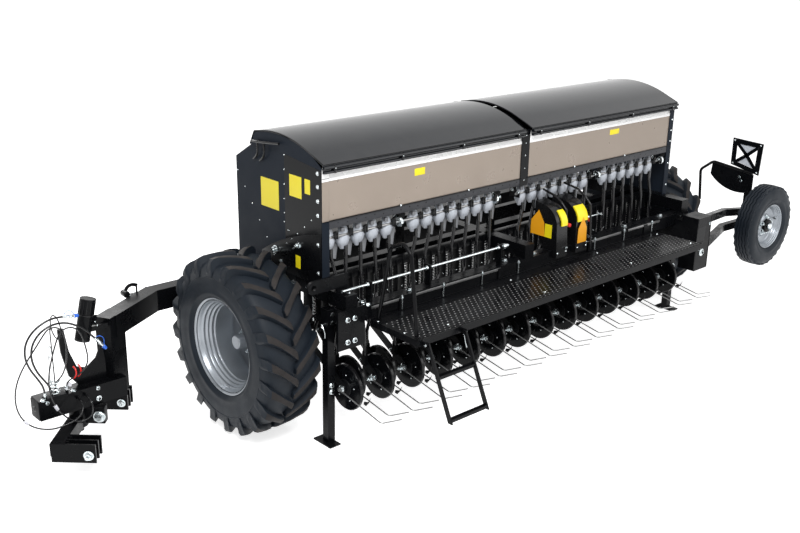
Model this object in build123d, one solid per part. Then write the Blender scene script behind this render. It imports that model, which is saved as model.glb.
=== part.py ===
"""Four-metre box seed drill with an end-tow transport kit.

Machine frame while modelling: X along the working width, +Y the way it travels at work, Z = 0 the ground,
X = 0 the middle of the hopper and Y = 0 the hopper's rear wall.  The last step moves the
origin under the middle of the whole machine.  Millimetres throughout.
"""
import os
from math import atan2, cos, degrees, hypot, pi, radians, sin, sqrt, tan

from build123d import *

# ---------------------------------------------------------------- driving dimensions
HOPPER_LEN = 4000.0          # over the two end plates
HOPPER_DEPTH = 997.0
SHEET = 5.0                  # hopper walls and lids
END_PLATE = 6.0
PANEL_FOOT_Z = 1565.0        # lower edge of the rear panel
PANEL_TOP_Z = 1852.0         # where the panel leans in
EAVE_Z = 1930.0              # top of the rear wall
HOPPER_FOOT_Z = 1110.0       # end plates stand on the side beams here
OUTLET_Z = 1490.0            # bottom of the trough
OUTLET_Y = (40.0, 200.0)
CENTRE_GAP = 60.0            # closed column between the two halves
LID_GAP = 6.0                # lid above the end plates
CROWN_REAR = (95.0, EAVE_Z + 65.0)                      # the lid's curve starts here
CROWN_FRONT = (HOPPER_DEPTH - 241.0, EAVE_Z + 118.0)    # and ends here, where the brow drops
CROWN_TOP = (430.0, EAVE_Z + 150.0)
BROW = (HOPPER_DEPTH - 193.0, EAVE_Z + 24.0)            # top of the sloping front hood
HOOD_FOOT_Z = EAVE_Z - 89.0                             # where the hood meets the front wall
HINGE = (BROW[0] + 28.0, BROW[1] + 20.0)                # lid axis in Y and Z
HINGE_R = 8.0

BEAM = 100.0                 # square tube of the frame
BEAM_WALL = 8.0
REAR_BEAM_Y = -200.0
REAR_BEAM_TOP = 1000.0
MID_BEAM_Y = HOPPER_DEPTH + 3.0   # under the hopper's front wall
SIDE_BEAM_X = 1945.0
MIDDLE_BEAM_X = -170.0
CROSS_TUBE = 80.0            # carries the coulters and the hopper legs
FRONT_BEAM_Y = MID_BEAM_Y + 265.0
FRONT_BEAM = (120.0, 160.0)  # width, height
FRONT_BEAM_Z = 800.0

ROWS = 28
ROW_PITCH = 143.0
DISC_R = 165.0
DISC_BAND = 30.0
DISC_HUB_R = 42.0
REAR_RANK = (-165.0, 405.0)  # disc axle Y, Z
FRONT_RANK = (-20.0, 380.0)
COULTER_PIVOT = (330.0, 690.0)
ARM_THICK = 12.0
ARM_HEIGHT = 55.0

WHEEL_R = 650.0
WHEEL_W = 430.0
WHEEL_X = 2320.0
WHEEL_Y = 490.0
RIM_W = 370.0
RIM_R = 330.0
RIM_FLANGE_R = 345.0
AXLE_R = 35.0
RUN_CLEAR = 0.1

ROAD_R = 404.0               # transport tyre, 7.50-16 class
ROAD_W = 205.0
ROAD_RIM_W = 165.0
ROAD_RIM_R = 210.0
ROAD_FLANGE_R = 220.0
ROAD_AXLE_R = 25.0
ROAD_HUB = (3330.0, 630.0)   # X, Z of the raised transport wheels
ROAD_REAR_Y = -290.0
POST = (1800.0, 2000.0, 170.0, 525.0, 1010.0)   # X from, X to, depth in Y, Z from, Z to
POST_REAR_Y = -500.0         # rear face of the rear post
ROAD_PIVOT = (1895.0, 690.0)
ROAD_BEAM = (110.0, 190.0)   # width in X, height
ROAD_BEAM_Z = 860.0

PLATFORM_X = (-1790.0, 1500.0)
PLATFORM_Y = (-735.0, -262.0)
PLATFORM_Z = 900.0
PLATFORM_LIP = 45.0
STEP_SHEET = 4.0

STAND_X = HOPPER_LEN / 2 + 30.0
STAND_Y = -105.0
STAND_TUBE = 60.0
STAND_TOP_Z = 985.0
STAND_FOOT = (95.0, 190.0, 10.0)

DRAWBAR_FROM_X = -2200.0
DRAWBAR_BEND_X = -2600.0
DRAWBAR_END = (-3050.0, 1010.0)
NECK_W = 170.0
HEAD = (-3370.0, 950.0)      # yaw pin of the hitch head
HEAD_ANGLE = -43.0           # direction in which the head's plates point
KNUCKLE_END_X = -3655.0
KNUCKLE_Z = (300.0, 440.0)
CROSSBAR_LEN = 880.0
CROSSBAR_Z = 205.0
CROSSBAR = 90.0
LINK_PIN_R = 18.25           # bore of the lower-link plates
LINK_PIN_Z = CROSSBAR_Z - 30.0
LINK_REACH = 205.0
LINK_PLATE = (290.0, 130.0, 15.0)
LINK_PITCH = 62.0
YAW_PIN_R = 30.0


# ---------------------------------------------------------------- helpers
def block(x, y, z):
    """A box from three (low, high) pairs."""
    return Pos(sum(x) / 2, sum(y) / 2, sum(z) / 2) * Box(x[1] - x[0], y[1] - y[0], z[1] - z[0])


def span(middle, size):
    return (middle - size / 2, middle + size / 2)


def tube(x, y, z, wall, axis):
    """A square tube with open ends along axis."""
    outer = block(x, y, z)
    pairs = [x, y, z]
    inner = [
        (a - 1, b + 1) if i == "XYZ".index(axis) else (a + wall, b - wall) for i, (a, b) in enumerate(pairs)
    ]
    return outer - block(*inner)


def rod(start, end, radius):
    """A round bar from start to end."""
    a, b = Vector(*start), Vector(*end)
    along = b - a
    plane = Plane(origin=a, z_dir=along)
    return plane * Cylinder(radius, along.length, align=(Align.CENTER, Align.CENTER, Align.MIN))


def side_plate(points, x_from, thick):
    """A plate in the YZ plane: points are (Y, Z), it is thick along +X from x_from."""
    face = make_face(Polyline(*[(0, y, z) for y, z in points], close=True))
    return Pos(x_from, 0, 0) * extrude(face, amount=thick, dir=(1, 0, 0))


def curved_plate(path, x_from, thick):
    """A side plate whose path lists (Y, Z) points; a list of three such points in it is an arc."""
    stops = [stop if isinstance(stop, list) else [stop] for stop in path]
    edges = []
    last = None
    for stop in stops + [stops[0][:1]]:
        if last is not None and hypot(stop[0][0] - last[0], stop[0][1] - last[1]) > 0.01:
            edges.append(Line((0, *last), (0, *stop[0])).edge())
        if len(stop) == 3:
            edges.append(ThreePointArc(*[(0, y, z) for y, z in stop]).edge())
        last = stop[-1]
    return Pos(x_from, 0, 0) * extrude(make_face(edges), amount=thick, dir=(1, 0, 0))


def circle_through(a, b, c):
    """Centre and radius of the circle through three (Y, Z) points."""
    twice = 2 * (a[0] * (b[1] - c[1]) + b[0] * (c[1] - a[1]) + c[0] * (a[1] - b[1]))
    squares = [y * y + z * z for y, z in (a, b, c)]
    y = (squares[0] * (b[1] - c[1]) + squares[1] * (c[1] - a[1]) + squares[2] * (a[1] - b[1])) / twice
    z = (squares[0] * (c[0] - b[0]) + squares[1] * (a[0] - c[0]) + squares[2] * (b[0] - a[0])) / twice
    return (y, z), hypot(a[0] - y, a[1] - z)


def turned(points, axis):
    """A ring from (along, radius) points, turned about X or Y through the origin."""
    if axis == "X":
        face = make_face(Polyline(*[(a, 0, r) for a, r in points], close=True))
        return revolve(face, axis=Axis.X, revolution_arc=360)
    face = make_face(Polyline(*[(0, a, r) for a, r in points], close=True))
    return revolve(face, axis=Axis.Y, revolution_arc=360)


def bent(points, radii):
    """A path of straight runs joined by arcs, one radius for each inner corner."""
    return FilletPolyline(*points, radius=radii)


def round_tube(points, radii, radius):
    path = bent(points, radii)
    start = path @ 0
    plane = Plane(origin=start, z_dir=path % 0)
    return sweep(plane * Circle(radius), path=path)


def corner_radii(points):
    """For each inner corner, 0.45 of its shorter run over the tangent of half its turn."""
    radii = []
    for a, b, c in zip(points, points[1:], points[2:]):
        before, after = Vector(*b) - Vector(*a), Vector(*c) - Vector(*b)
        half_turn = radians(before.get_angle(after)) / 2
        radii.append(0.45 * min(before.length, after.length) / tan(half_turn))
    return radii


def flats(stations, sides, axis):
    """A solid of flat facets through (along, flat radius) stations, each a regular polygon."""
    rings = []
    for along, radius in stations:
        normal = [float(axis == name) for name in "XYZ"]
        plane = Plane(origin=[along * share for share in normal], z_dir=normal)
        rings.append(plane * RegularPolygon(radius, sides, major_radius=False))
    return loft(rings, ruled=True)


def mirror_x(shape):
    return mirror(shape, about=Plane.YZ)


def solids(*shapes):
    """One compound of separate solids."""
    found = []
    for shape in shapes:
        found.extend(shape.solids())
    return Compound(children=found)


nodes = {}

# ---------------------------------------------------------------- hopper
HALF = HOPPER_LEN / 2
CROWN_CENTRE, CROWN_R = circle_through(CROWN_REAR, CROWN_TOP, CROWN_FRONT)


def crown(offset):
    """The crown's arc as its rear, middle and front points, moved outward by offset."""
    share = (CROWN_R + offset) / CROWN_R
    return [(CROWN_CENTRE[0] + (y - CROWN_CENTRE[0]) * share, CROWN_CENTRE[1] + (z - CROWN_CENTRE[1]) * share)
            for y, z in (CROWN_REAR, CROWN_TOP, CROWN_FRONT)]


BROW_DROP = hypot(BROW[0] - CROWN_FRONT[0], CROWN_FRONT[1] - BROW[1])
BROW_OUT = ((CROWN_FRONT[1] - BROW[1]) / BROW_DROP, (BROW[0] - CROWN_FRONT[0]) / BROW_DROP)
HOOD_SLOPE = (HOOD_FOOT_Z - BROW[1]) / (HOPPER_DEPTH - BROW[0])


def brow(offset, up=0.0):
    """Foot of the steep brow moved outward by offset, or a point up the brow from there."""
    return (BROW[0] + BROW_OUT[0] * offset - BROW_OUT[1] * up, BROW[1] + BROW_OUT[1] * offset + BROW_OUT[0] * up)


def hood(y, sunk=0.0):
    """Height of the sloping hood's outer face at y, or of a face sunk below it."""
    return BROW[1] + HOOD_SLOPE * (y - BROW[0]) - sunk * hypot(1, HOOD_SLOPE)


FLANGE_W = 62.0              # folded rear edge of an end plate
end_outline = [(0.0, HOPPER_FOOT_Z), (0.0, EAVE_Z), crown(0.0), BROW, (HOPPER_DEPTH, HOOD_FOOT_Z),
               (HOPPER_DEPTH, HOPPER_FOOT_Z)]
end_plate = curved_plate(end_outline, HALF - END_PLATE, END_PLATE)
end_plate += block((HALF - FLANGE_W, HALF), (-END_PLATE, 0.0), (HOPPER_FOOT_Z, EAVE_Z - 6))
nodes["end_plate_right"] = end_plate
nodes["end_plate_left"] = mirror_x(end_plate)

INNER_X = HALF - END_PLATE
TROUGH_FRONT_Z = 1640.0      # where the front wall meets the sloping floor
SILL_TOP_Z = PANEL_FOOT_Z + 30.0


def floor_top(y):
    """Top face of the sloping hopper floor at y."""
    share = (y - OUTLET_Y[1]) / (HOPPER_DEPTH - OUTLET_Y[1])
    return OUTLET_Z + SHEET + (TROUGH_FRONT_Z - OUTLET_Z) * share


WALL_IN = HOPPER_DEPTH - SHEET
nodes["hopper_floor"] = side_plate(
    [(OUTLET_Y[0], OUTLET_Z), (OUTLET_Y[1], OUTLET_Z), (HOPPER_DEPTH, TROUGH_FRONT_Z),
     (HOPPER_DEPTH, floor_top(HOPPER_DEPTH)), (OUTLET_Y[1], OUTLET_Z + SHEET), (OUTLET_Y[0], OUTLET_Z + SHEET)],
    -INNER_X, 2 * INNER_X)
front_wall = side_plate(
    [(HOPPER_DEPTH, floor_top(HOPPER_DEPTH)), (HOPPER_DEPTH, HOOD_FOOT_Z), BROW, (BROW[0], hood(BROW[0], SHEET)),
     (WALL_IN, hood(WALL_IN, SHEET)), (WALL_IN, floor_top(WALL_IN))], -INNER_X, 2 * INNER_X)
sill = side_plate(
    [(SHEET, PANEL_FOOT_Z + 5), (SHEET, SILL_TOP_Z), (2 * SHEET, SILL_TOP_Z), (2 * SHEET, PANEL_FOOT_Z + 6),
     (OUTLET_Y[0] + 4, OUTLET_Z + SHEET), (OUTLET_Y[0], OUTLET_Z + SHEET)], -INNER_X, 2 * INNER_X)
nodes["hopper_walls"] = solids(front_wall, sill)
divider_outline = [
    (2 * SHEET, PANEL_FOOT_Z + 6), (2 * SHEET, SILL_TOP_Z), (SHEET, SILL_TOP_Z), (SHEET, EAVE_Z - 8),
    crown(-13.0), (BROW[0] - 12, BROW[1] - 6), (WALL_IN, hood(WALL_IN, SHEET)), (WALL_IN, floor_top(WALL_IN)),
    (OUTLET_Y[1], OUTLET_Z + SHEET), (OUTLET_Y[0] + 4, OUTLET_Z + SHEET),
]
nodes["hopper_dividers"] = solids(
    *[curved_plate(divider_outline, x, 4.0) for x in (-CENTRE_GAP / 2, CENTRE_GAP / 2 - 4.0)])

# rear panel: flat sheet, leaning strip above it and a folded foot under it
panel = [
    (0.0, PANEL_FOOT_Z), (0.0, PANEL_TOP_Z), (16.0, EAVE_Z - 2), (16.0 + SHEET, EAVE_Z - 2),
    (SHEET, PANEL_TOP_Z - 1), (SHEET, PANEL_FOOT_Z),
]
PANEL_X = (CENTRE_GAP / 2 + 1.0, INNER_X)
nodes["rear_panel_right"] = side_plate(panel, PANEL_X[0], PANEL_X[1] - PANEL_X[0])
nodes["rear_panel_left"] = side_plate(panel, -PANEL_X[1], PANEL_X[1] - PANEL_X[0])
STRAP_W = CENTRE_GAP + 30.0
nodes["centre_strap"] = side_plate(
    [(-6.0, OUTLET_Z + 10), (-6.0, EAVE_Z + 18), (0.0, EAVE_Z + 18), (0.0, OUTLET_Z + 10)],
    -STRAP_W / 2, STRAP_W
)

# ---------------------------------------------------------------- lids
LID_X = (40.0, HALF + 4.0)


def lid():
    """Right lid: curved sheet over the crown, a front and a rear flange, two grab tubes and knuckles."""
    x_span = LID_X[1] - LID_X[0]
    sheet = curved_plate(
        [(-22.0, EAVE_Z + 22.0), crown(LID_GAP), brow(LID_GAP), brow(LID_GAP + SHEET), crown(LID_GAP + SHEET)[::-1],
         (-27.0, EAVE_Z + 26.0)], LID_X[0], x_span)
    flange = side_plate(
        [(-22.0, EAVE_Z + 24.0), (-27.0, EAVE_Z + 24.0), (-27.0, EAVE_Z - 34.0), (-22.0, EAVE_Z - 34.0)],
        LID_X[0], x_span)
    grab = rod((LID_X[0] + 6, -36.0, EAVE_Z + 6), (LID_X[1] - 6, -36.0, EAVE_Z + 6), 11.0)
    grab += rod((LID_X[0] + 6, -34.0, EAVE_Z - 26), (LID_X[1] - 6, -34.0, EAVE_Z - 26), 9.0)
    knuckles = []
    for x in HINGE_XS:
        web = side_plate([brow(LID_GAP), brow(LID_GAP, 34.0), (HINGE[0], HINGE[1] + 15), (HINGE[0], HINGE[1] - 15)],
                         x - 20, 40)
        ear = web + rod((x - 20, *HINGE), (x + 20, *HINGE), 2 * HINGE_R)
        knuckles.append(ear - rod((x - 21, *HINGE), (x + 21, *HINGE), HINGE_R + 0.3))
    return sheet + flange + grab + knuckles


HINGE_XS = [220.0, 1010.0, 1800.0]
nodes["lid_right"] = lid()
nodes["lid_left"] = mirror_x(nodes["lid_right"])
hinge_parts = []
for side in (-1, 1):
    for x in HINGE_XS:
        centre = side * x
        for edge in (-32.0, 24.0):
            hinge_parts.append(side_plate(
                [(BROW[0] + 20, hood(BROW[0] + 20)), (BROW[0] + 80, hood(BROW[0] + 80)),
                 (HINGE[0] + 14, HINGE[1] + 2), (HINGE[0], HINGE[1] + 14), (HINGE[0] - 12, HINGE[1])],
                centre + edge, 8.0,
            ))
        hinge_parts.append(rod((centre - 32, *HINGE), (centre + 32, *HINGE), HINGE_R))
hinge_sets = []
for i in range(0, len(hinge_parts), 3):
    hinge_sets.append(hinge_parts[i] + hinge_parts[i + 1] + hinge_parts[i + 2])
nodes["lid_hinges"] = solids(*hinge_sets)

# ---------------------------------------------------------------- frame
side_z = (HOPPER_FOOT_Z - BEAM, HOPPER_FOOT_Z)
rear_z = (REAR_BEAM_TOP - BEAM, REAR_BEAM_TOP)
frame = block((-HALF - 10, HALF + 10), span(REAR_BEAM_Y, BEAM), rear_z)
frame += block((-HALF, HALF), span(MID_BEAM_Y, BEAM), side_z)
frame += block((-HALF, HALF), span(COULTER_PIVOT[0], CROSS_TUBE), side_z)
for x in (-SIDE_BEAM_X, MIDDLE_BEAM_X, SIDE_BEAM_X):
    frame += block(span(x, BEAM), (REAR_BEAM_Y, MID_BEAM_Y), side_z)
    frame += block(span(x, BEAM), span(REAR_BEAM_Y, BEAM), (rear_z[0], side_z[1]))
END_BOX = ((-2070.0, -1840.0), 740.0, 20.0)    # X range, foot Z, rise above the beam
box_y = REAR_BEAM_Y - BEAM / 2
frame += block(END_BOX[0], (box_y - 12.0, box_y), (END_BOX[1], REAR_BEAM_TOP + END_BOX[2]))
frame += block((-HALF, END_BOX[0][1]), (box_y, box_y + BEAM), (END_BOX[1], rear_z[0]))
nodes["main_frame"] = frame

front_y = span(FRONT_BEAM_Y, FRONT_BEAM[0])
front_z = span(FRONT_BEAM_Z, FRONT_BEAM[1])
ROAD_BEAM_X = 1870.0
front = tube((DRAWBAR_FROM_X, POST[0]), front_y, front_z, BEAM_WALL, "X")
for x in (-1500.0, -500.0, 500.0, 1500.0):
    front += side_plate(
        [(MID_BEAM_Y + BEAM / 2, side_z[1]), (MID_BEAM_Y + BEAM / 2, side_z[0]),
         (MID_BEAM_Y + BEAM / 2, front_z[0]), (front_y[0], front_z[0]), (front_y[0], front_z[1])],
        x - 10, 20,
    )
nodes["front_beam"] = front

# each wheel hangs on a plate bracket with a spindle
AXLE_PLATE_X = (1960.0, 1995.0)
axle = side_plate(
    [(WHEEL_Y - 110, side_z[0]), (WHEEL_Y + 110, side_z[0]), (WHEEL_Y + 70, WHEEL_R - 80),
     (WHEEL_Y - 70, WHEEL_R - 80)], AXLE_PLATE_X[0], AXLE_PLATE_X[1] - AXLE_PLATE_X[0],
)
axle += rod((AXLE_PLATE_X[0], WHEEL_Y, WHEEL_R), (WHEEL_X + 60, WHEEL_Y, WHEEL_R), AXLE_R)
axle += rod((AXLE_PLATE_X[1], WHEEL_Y, WHEEL_R), (WHEEL_X - 70, WHEEL_Y, WHEEL_R), AXLE_R + 20)
nodes["wheel_axles"] = solids(axle, mirror_x(axle))

# hopper legs over the side beams carry the trough between its ends
def floor_z(y):
    """Underside of the trough's sloping floor at y."""
    share = (y - OUTLET_Y[1]) / (HOPPER_DEPTH - OUTLET_Y[1])
    return OUTLET_Z + (TROUGH_FRONT_Z - OUTLET_Z) * share


LEG_REAR = span(COULTER_PIVOT[0], CROSS_TUBE - 10)
LEG_FRONT = (MID_BEAM_Y - BEAM / 2 + 5, HOPPER_DEPTH - 10)
legs = []
for x in (-1000.0, 0.0, 1000.0):
    legs.append(side_plate(
        [(LEG_REAR[0], side_z[1]), (LEG_REAR[0], floor_z(LEG_REAR[0])), (LEG_FRONT[1], floor_z(LEG_FRONT[1])),
         (LEG_FRONT[1], side_z[1]), (LEG_FRONT[0], side_z[1]), (LEG_FRONT[0], floor_z(LEG_FRONT[0]) - 70),
         (LEG_REAR[1], floor_z(LEG_REAR[1]) - 70), (LEG_REAR[1], side_z[1])],
        x - 12, 24,
    ))
nodes["hopper_legs"] = solids(*legs)

# ---------------------------------------------------------------- metering
METER_PITCH = 130.0
METER_W = 62.0
METER_Y = 20.0
METER_Z = 1437.0
METER_STARTS = [-1906.0, -1125.0, 30.0, 1082.0]    # first unit's X in each group
METER_COUNTS = [5, 7, 7, 6]
METER_ROWS = [0, 5, 13, 21]                        # first row fed by each group
SHAFTS = [(-INNER_X, -236.0), (-60.0, INNER_X)]
HANGER_XS = [-1276.0, -256.0, -40.0, 925.0, 1845.0]
meter_xs = [x0 + i * METER_PITCH for x0, count in zip(METER_STARTS, METER_COUNTS) for i in range(count)]
SHAFT_R = 10.0


FUNNEL = [(0.0, 15.0), (16.0, 24.0), (56.0, 34.0), (96.0, 35.0), (114.0, 28.0), (134.7, 25.0)]    # rise, radius
FUNNEL_FOOT_Z = METER_Z - 82.0


def meter(x):
    """Feed housing: a rounded funnel under the trough, with the feed shaft through it."""
    body = Pos(x, METER_Y, FUNNEL_FOOT_Z) * flats(FUNNEL, 12, "Z")
    cheek = block(span(x + 20, 22.0), (METER_Y - 40, METER_Y), (METER_Z - 24, METER_Z + 24))
    return body + cheek - rod((x - METER_W, METER_Y, METER_Z), (x + METER_W, METER_Y, METER_Z), SHAFT_R + 0.3)


nodes["meters"] = solids(*[meter(x) for x in meter_xs])

shafts = [rod((x0, METER_Y, METER_Z), (x1, METER_Y, METER_Z), SHAFT_R) for x0, x1 in SHAFTS]
nodes["meter_shafts"] = solids(*shafts)
hangers = []
for x in HANGER_XS:
    plate = block(span(x, 8.0), (OUTLET_Y[0], OUTLET_Y[0] + 60), (METER_Z - 30, OUTLET_Z))
    plate += block(span(x, 8.0), (METER_Y - 22, OUTLET_Y[0] + 60), (METER_Z - 30, METER_Z + 25))
    hangers.append(plate - rod((x - 9, METER_Y, METER_Z), (x + 9, METER_Y, METER_Z), SHAFT_R + 0.3))
nodes["shaft_hangers"] = solids(*hangers)

# ---------------------------------------------------------------- openers
row_xs = [(i - (ROWS - 1) / 2) * ROW_PITCH for i in range(ROWS)]
rear_xs = row_xs[0::2]
front_xs = row_xs[1::2]


def disc(x, rank):
    """Dished disc with a thick smooth band to its right and a hub."""
    y, z = rank
    profile = [
        (-3.0, 0.0), (-3.0, DISC_HUB_R), (0.0, DISC_R - 16), (0.0, DISC_R - 4), (6.0, DISC_R),
        (DISC_BAND - 6, DISC_R), (DISC_BAND, DISC_R - 6), (DISC_BAND, DISC_R - 14), (8.0, DISC_R - 16),
        (8.0, DISC_HUB_R), (26.0, DISC_HUB_R), (26.0, 0.0),
    ]
    ring = turned(profile, "X") - rod((-4, 0, 0), (27, 0, 0), 14.0 + RUN_CLEAR)
    return Pos(x, y, z) * ring


nodes["discs_rear"] = solids(*[disc(x, REAR_RANK) for x in rear_xs])
nodes["discs_front"] = solids(*[disc(x, FRONT_RANK) for x in front_xs])


BOOT_TOP_Z = 545.0
BOOT_X = -27.0               # seed boot's middle from the row's line
BOOT = (32.0, 36.0, 80.0)    # width, depth, height


def boot_y(rank):
    """Where a rank's seed boots stand, ahead of the disc axles."""
    return rank[0] + 105.0


def arm(x, rank):
    """Trailing arm from the pivot tube to the disc axle, with the axle bolt and the seed boot."""
    y, z = rank
    py, pz = COULTER_PIVOT
    length = hypot(py - y, pz - z)
    ny, nz = -(pz - z) / length, (py - y) / length
    h = ARM_HEIGHT / 2
    bar = side_plate(
        [(y + ny * h, z + nz * h), (y - ny * h, z - nz * h), (py - ny * h, pz - nz * h),
         (py + ny * h, pz + nz * h)], x - 10 - ARM_THICK, ARM_THICK)
    boss = rod((x - 10 - ARM_THICK, y, z), (x - 10, y, z), ARM_HEIGHT / 2)
    bolt = rod((x - 48, y, z), (x + 34, y, z), 14.0)
    boot = block(span(x + BOOT_X, BOOT[0]), span(boot_y(rank), BOOT[1]), (BOOT_TOP_Z - BOOT[2], BOOT_TOP_Z))
    return bar + boss + bolt + boot


pivot_tube = rod((-HALF + 20, *COULTER_PIVOT), (HALF - 20, *COULTER_PIVOT), 32.0)
nodes["opener_arms_rear"] = solids(*[
    arm(x, REAR_RANK) - rod((-HALF, *COULTER_PIVOT), (HALF, *COULTER_PIVOT), 32.3) for x in rear_xs])
nodes["opener_arms_front"] = solids(*[
    arm(x, FRONT_RANK) - rod((-HALF, *COULTER_PIVOT), (HALF, *COULTER_PIVOT), 32.3) for x in front_xs])
hangers = []
for x in (-1970.0, -572.0, 572.0, 1970.0):
    hangers.append(side_plate(
        [(COULTER_PIVOT[0] - CROSS_TUBE / 2, side_z[0]), (COULTER_PIVOT[0] + CROSS_TUBE / 2, side_z[0]),
         (COULTER_PIVOT[0] + 40, COULTER_PIVOT[1] - 40), (COULTER_PIVOT[0] - 40, COULTER_PIVOT[1] - 40)],
        x - 8, 16))
coulter_frame = pivot_tube + hangers
nodes["coulter_frame"] = coulter_frame

TUBE_R = 13.0
SIDE_CLEAR_X = SIDE_BEAM_X - BEAM / 2 - TUBE_R - 8.0     # seed tubes pass inside the side beams
fed_rows = [first + i for first, count in zip(METER_ROWS, METER_COUNTS) for i in range(count)]


def seed_tube(x_top, row):
    """Hose from a feed housing's spout past the rear beam to the row's seed boot."""
    rank = REAR_RANK if row % 2 == 0 else FRONT_RANK
    x_foot = row_xs[row] + BOOT_X
    x_pass = max(-SIDE_CLEAR_X, min(SIDE_CLEAR_X, (x_top + x_foot) / 2))
    route = [(x_top, METER_Y, FUNNEL_FOOT_Z), (x_top, METER_Y, FUNNEL_FOOT_Z - 60), (x_pass, 0.0, 1150.0),
             (x_pass, -6.0, 960.0), (x_foot, boot_y(rank), BOOT_TOP_Z + 100), (x_foot, boot_y(rank), BOOT_TOP_Z)]
    return round_tube(route, [30.0, 60.0, 60.0, 60.0], TUBE_R)


nodes["seed_tubes"] = solids(*[seed_tube(x, row) for x, row in zip(meter_xs, fed_rows)])

TINE_R = 4.5
TINE_BACK = {"rear": 440.0, "front": 500.0}
TINE_SIDE = 150.0


def tine(x, rank, name):
    """Covering tine: a wire from the axle bolt, trailing back and down, then turned sideways."""
    y, z = rank
    x0 = x - 54.0
    kink = (x0, y - TINE_BACK[name], z - 85.0)
    tip = (x0 + TINE_SIDE, y - TINE_BACK[name] - 35.0, z - 92.0)
    wire = round_tube([(x0, y, z), kink, tip], [25.0], TINE_R)
    eye = rod((x0 - 7, y, z), (x0 + 6, y, z), 15.0)
    return wire + eye


nodes["tines_rear"] = solids(*[tine(x, REAR_RANK, "rear") for x in rear_xs])
nodes["tines_front"] = solids(*[tine(x, FRONT_RANK, "front") for x in front_xs])

# ---------------------------------------------------------------- platform, rail and ladder
px, py, pz = PLATFORM_X, PLATFORM_Y, PLATFORM_Z
deck = block(px, py, (pz - STEP_SHEET, pz))
deck += block(px, (py[0], py[0] + STEP_SHEET), (pz - PLATFORM_LIP, pz))
deck += block(px, (py[1] - STEP_SHEET, py[1]), (pz - STEP_SHEET, pz + 8))
for x in px:
    end = (x, x + STEP_SHEET) if x == px[0] else (x - STEP_SHEET, x)
    deck += block(end, py, (pz - PLATFORM_LIP, pz))
for rise in (6.0, 22.0):
    deck += rod((px[0], py[0] + 2, pz + rise), (px[1], py[0] + 2, pz + rise), 5.0)
for i in range(9):
    x = px[0] + 20.0 + (px[1] - px[0] - 40.0) * i / 8
    deck += block(span(x, 10.0), (py[0], py[0] + STEP_SHEET), (pz - 2, pz + 24))
nodes["platform"] = deck

carriers = []
for x in (-1500.0, -500.0, 580.0, 1350.0):
    carriers.append(
        block(span(x, 50.0), (py[0] + 40.0, REAR_BEAM_Y - BEAM / 2), (pz - STEP_SHEET - 40.0, pz - STEP_SHEET))
        + block(span(x, 50.0), (REAR_BEAM_Y - BEAM / 2 - 10.0, REAR_BEAM_Y - BEAM / 2),
                (pz - 60.0, REAR_BEAM_TOP - 10)))
nodes["platform_carriers"] = solids(*carriers)

RAIL_X = -1745.0
rail_path = [(RAIL_X, py[0] + 60, pz), (RAIL_X, py[0] + 130, 1440.0), (RAIL_X, py[0] + 200, 1500.0),
             (RAIL_X, py[0] + 330, 1440.0), (RAIL_X, py[1] - 30, pz)]
nodes["grab_rail"] = round_tube(rail_path, [60.0, 50.0, 60.0], 14.0) - block(
    span(RAIL_X, 80.0), py, (pz - 60.0, pz))

LADDER_X = (-1735.0, -1395.0)
LADDER_PIVOT = (py[0] - 30.0, pz - 32.0)
LADDER_FOOT = (-1000.0, 390.0)
ladder = None
for x in LADDER_X:
    stile = side_plate(
        [(LADDER_PIVOT[0] - 18, LADDER_PIVOT[1] + 14), (LADDER_FOOT[0] - 18, LADDER_FOOT[1]),
         (LADDER_FOOT[0] + 18, LADDER_FOOT[1]), (LADDER_PIVOT[0] + 10, LADDER_PIVOT[1] + 14)], x - 6, 12)
    ladder = stile if ladder is None else ladder + stile
for share in (0.42, 0.96):
    y = LADDER_PIVOT[0] + (LADDER_FOOT[0] - LADDER_PIVOT[0]) * share
    z = LADDER_PIVOT[1] + (LADDER_FOOT[1] - LADDER_PIVOT[1]) * share
    ladder += block(LADDER_X, span(y, 34.0), span(z, 22.0))
ladder -= rod((LADDER_X[0] - 20, *LADDER_PIVOT), (LADDER_X[1] + 20, *LADDER_PIVOT), 6.3)
nodes["ladder"] = ladder
lugs = []
for x in LADDER_X:
    side = -1 if x == LADDER_X[0] else 1
    ear_x = span(x + side * 13.0, 8.0)
    ear = block(ear_x, (LADDER_PIVOT[0] - 14, py[0]), span(LADDER_PIVOT[1], 34.0))
    pin = rod((x - 12, *LADDER_PIVOT), (x + 12, *LADDER_PIVOT), 6.0)
    lugs.append(ear + pin)
nodes["ladder_ears"] = solids(*lugs)

# ---------------------------------------------------------------- drive guards
GUARDS = [(110.0, 235.0), (350.0, 490.0)]    # X from, X to
GUARD_FRONT_Y = -45.0
GUARD_SKIRT_Y = REAR_BEAM_Y - BEAM / 2       # the skirt hangs down behind the beam
# outline of the covers and of the guard rails beside them, each in Y and Z
GUARD_SKIRT = (-290.0, REAR_BEAM_TOP - 55)
GUARD_SHOULDER = [(-276.0, 1221.0), (-226.0, 1312.0), (-140.0, 1354.0)]
GUARD_TOP_Z = 1371.0
RAIL_TUBE_R = 9.0
GUARD_RAILS = [
    [(-281.0, 950.0), (-254.0, 1314.0), (-200.0, 1364.0), (-119.0, 1408.0), (-8.0, 1433.0)],
    [(-322.0, 952.0), (-293.0, 1322.0), (-231.0, 1381.0), (-151.0, 1427.0), (-8.0, 1448.0)],
]


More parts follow.
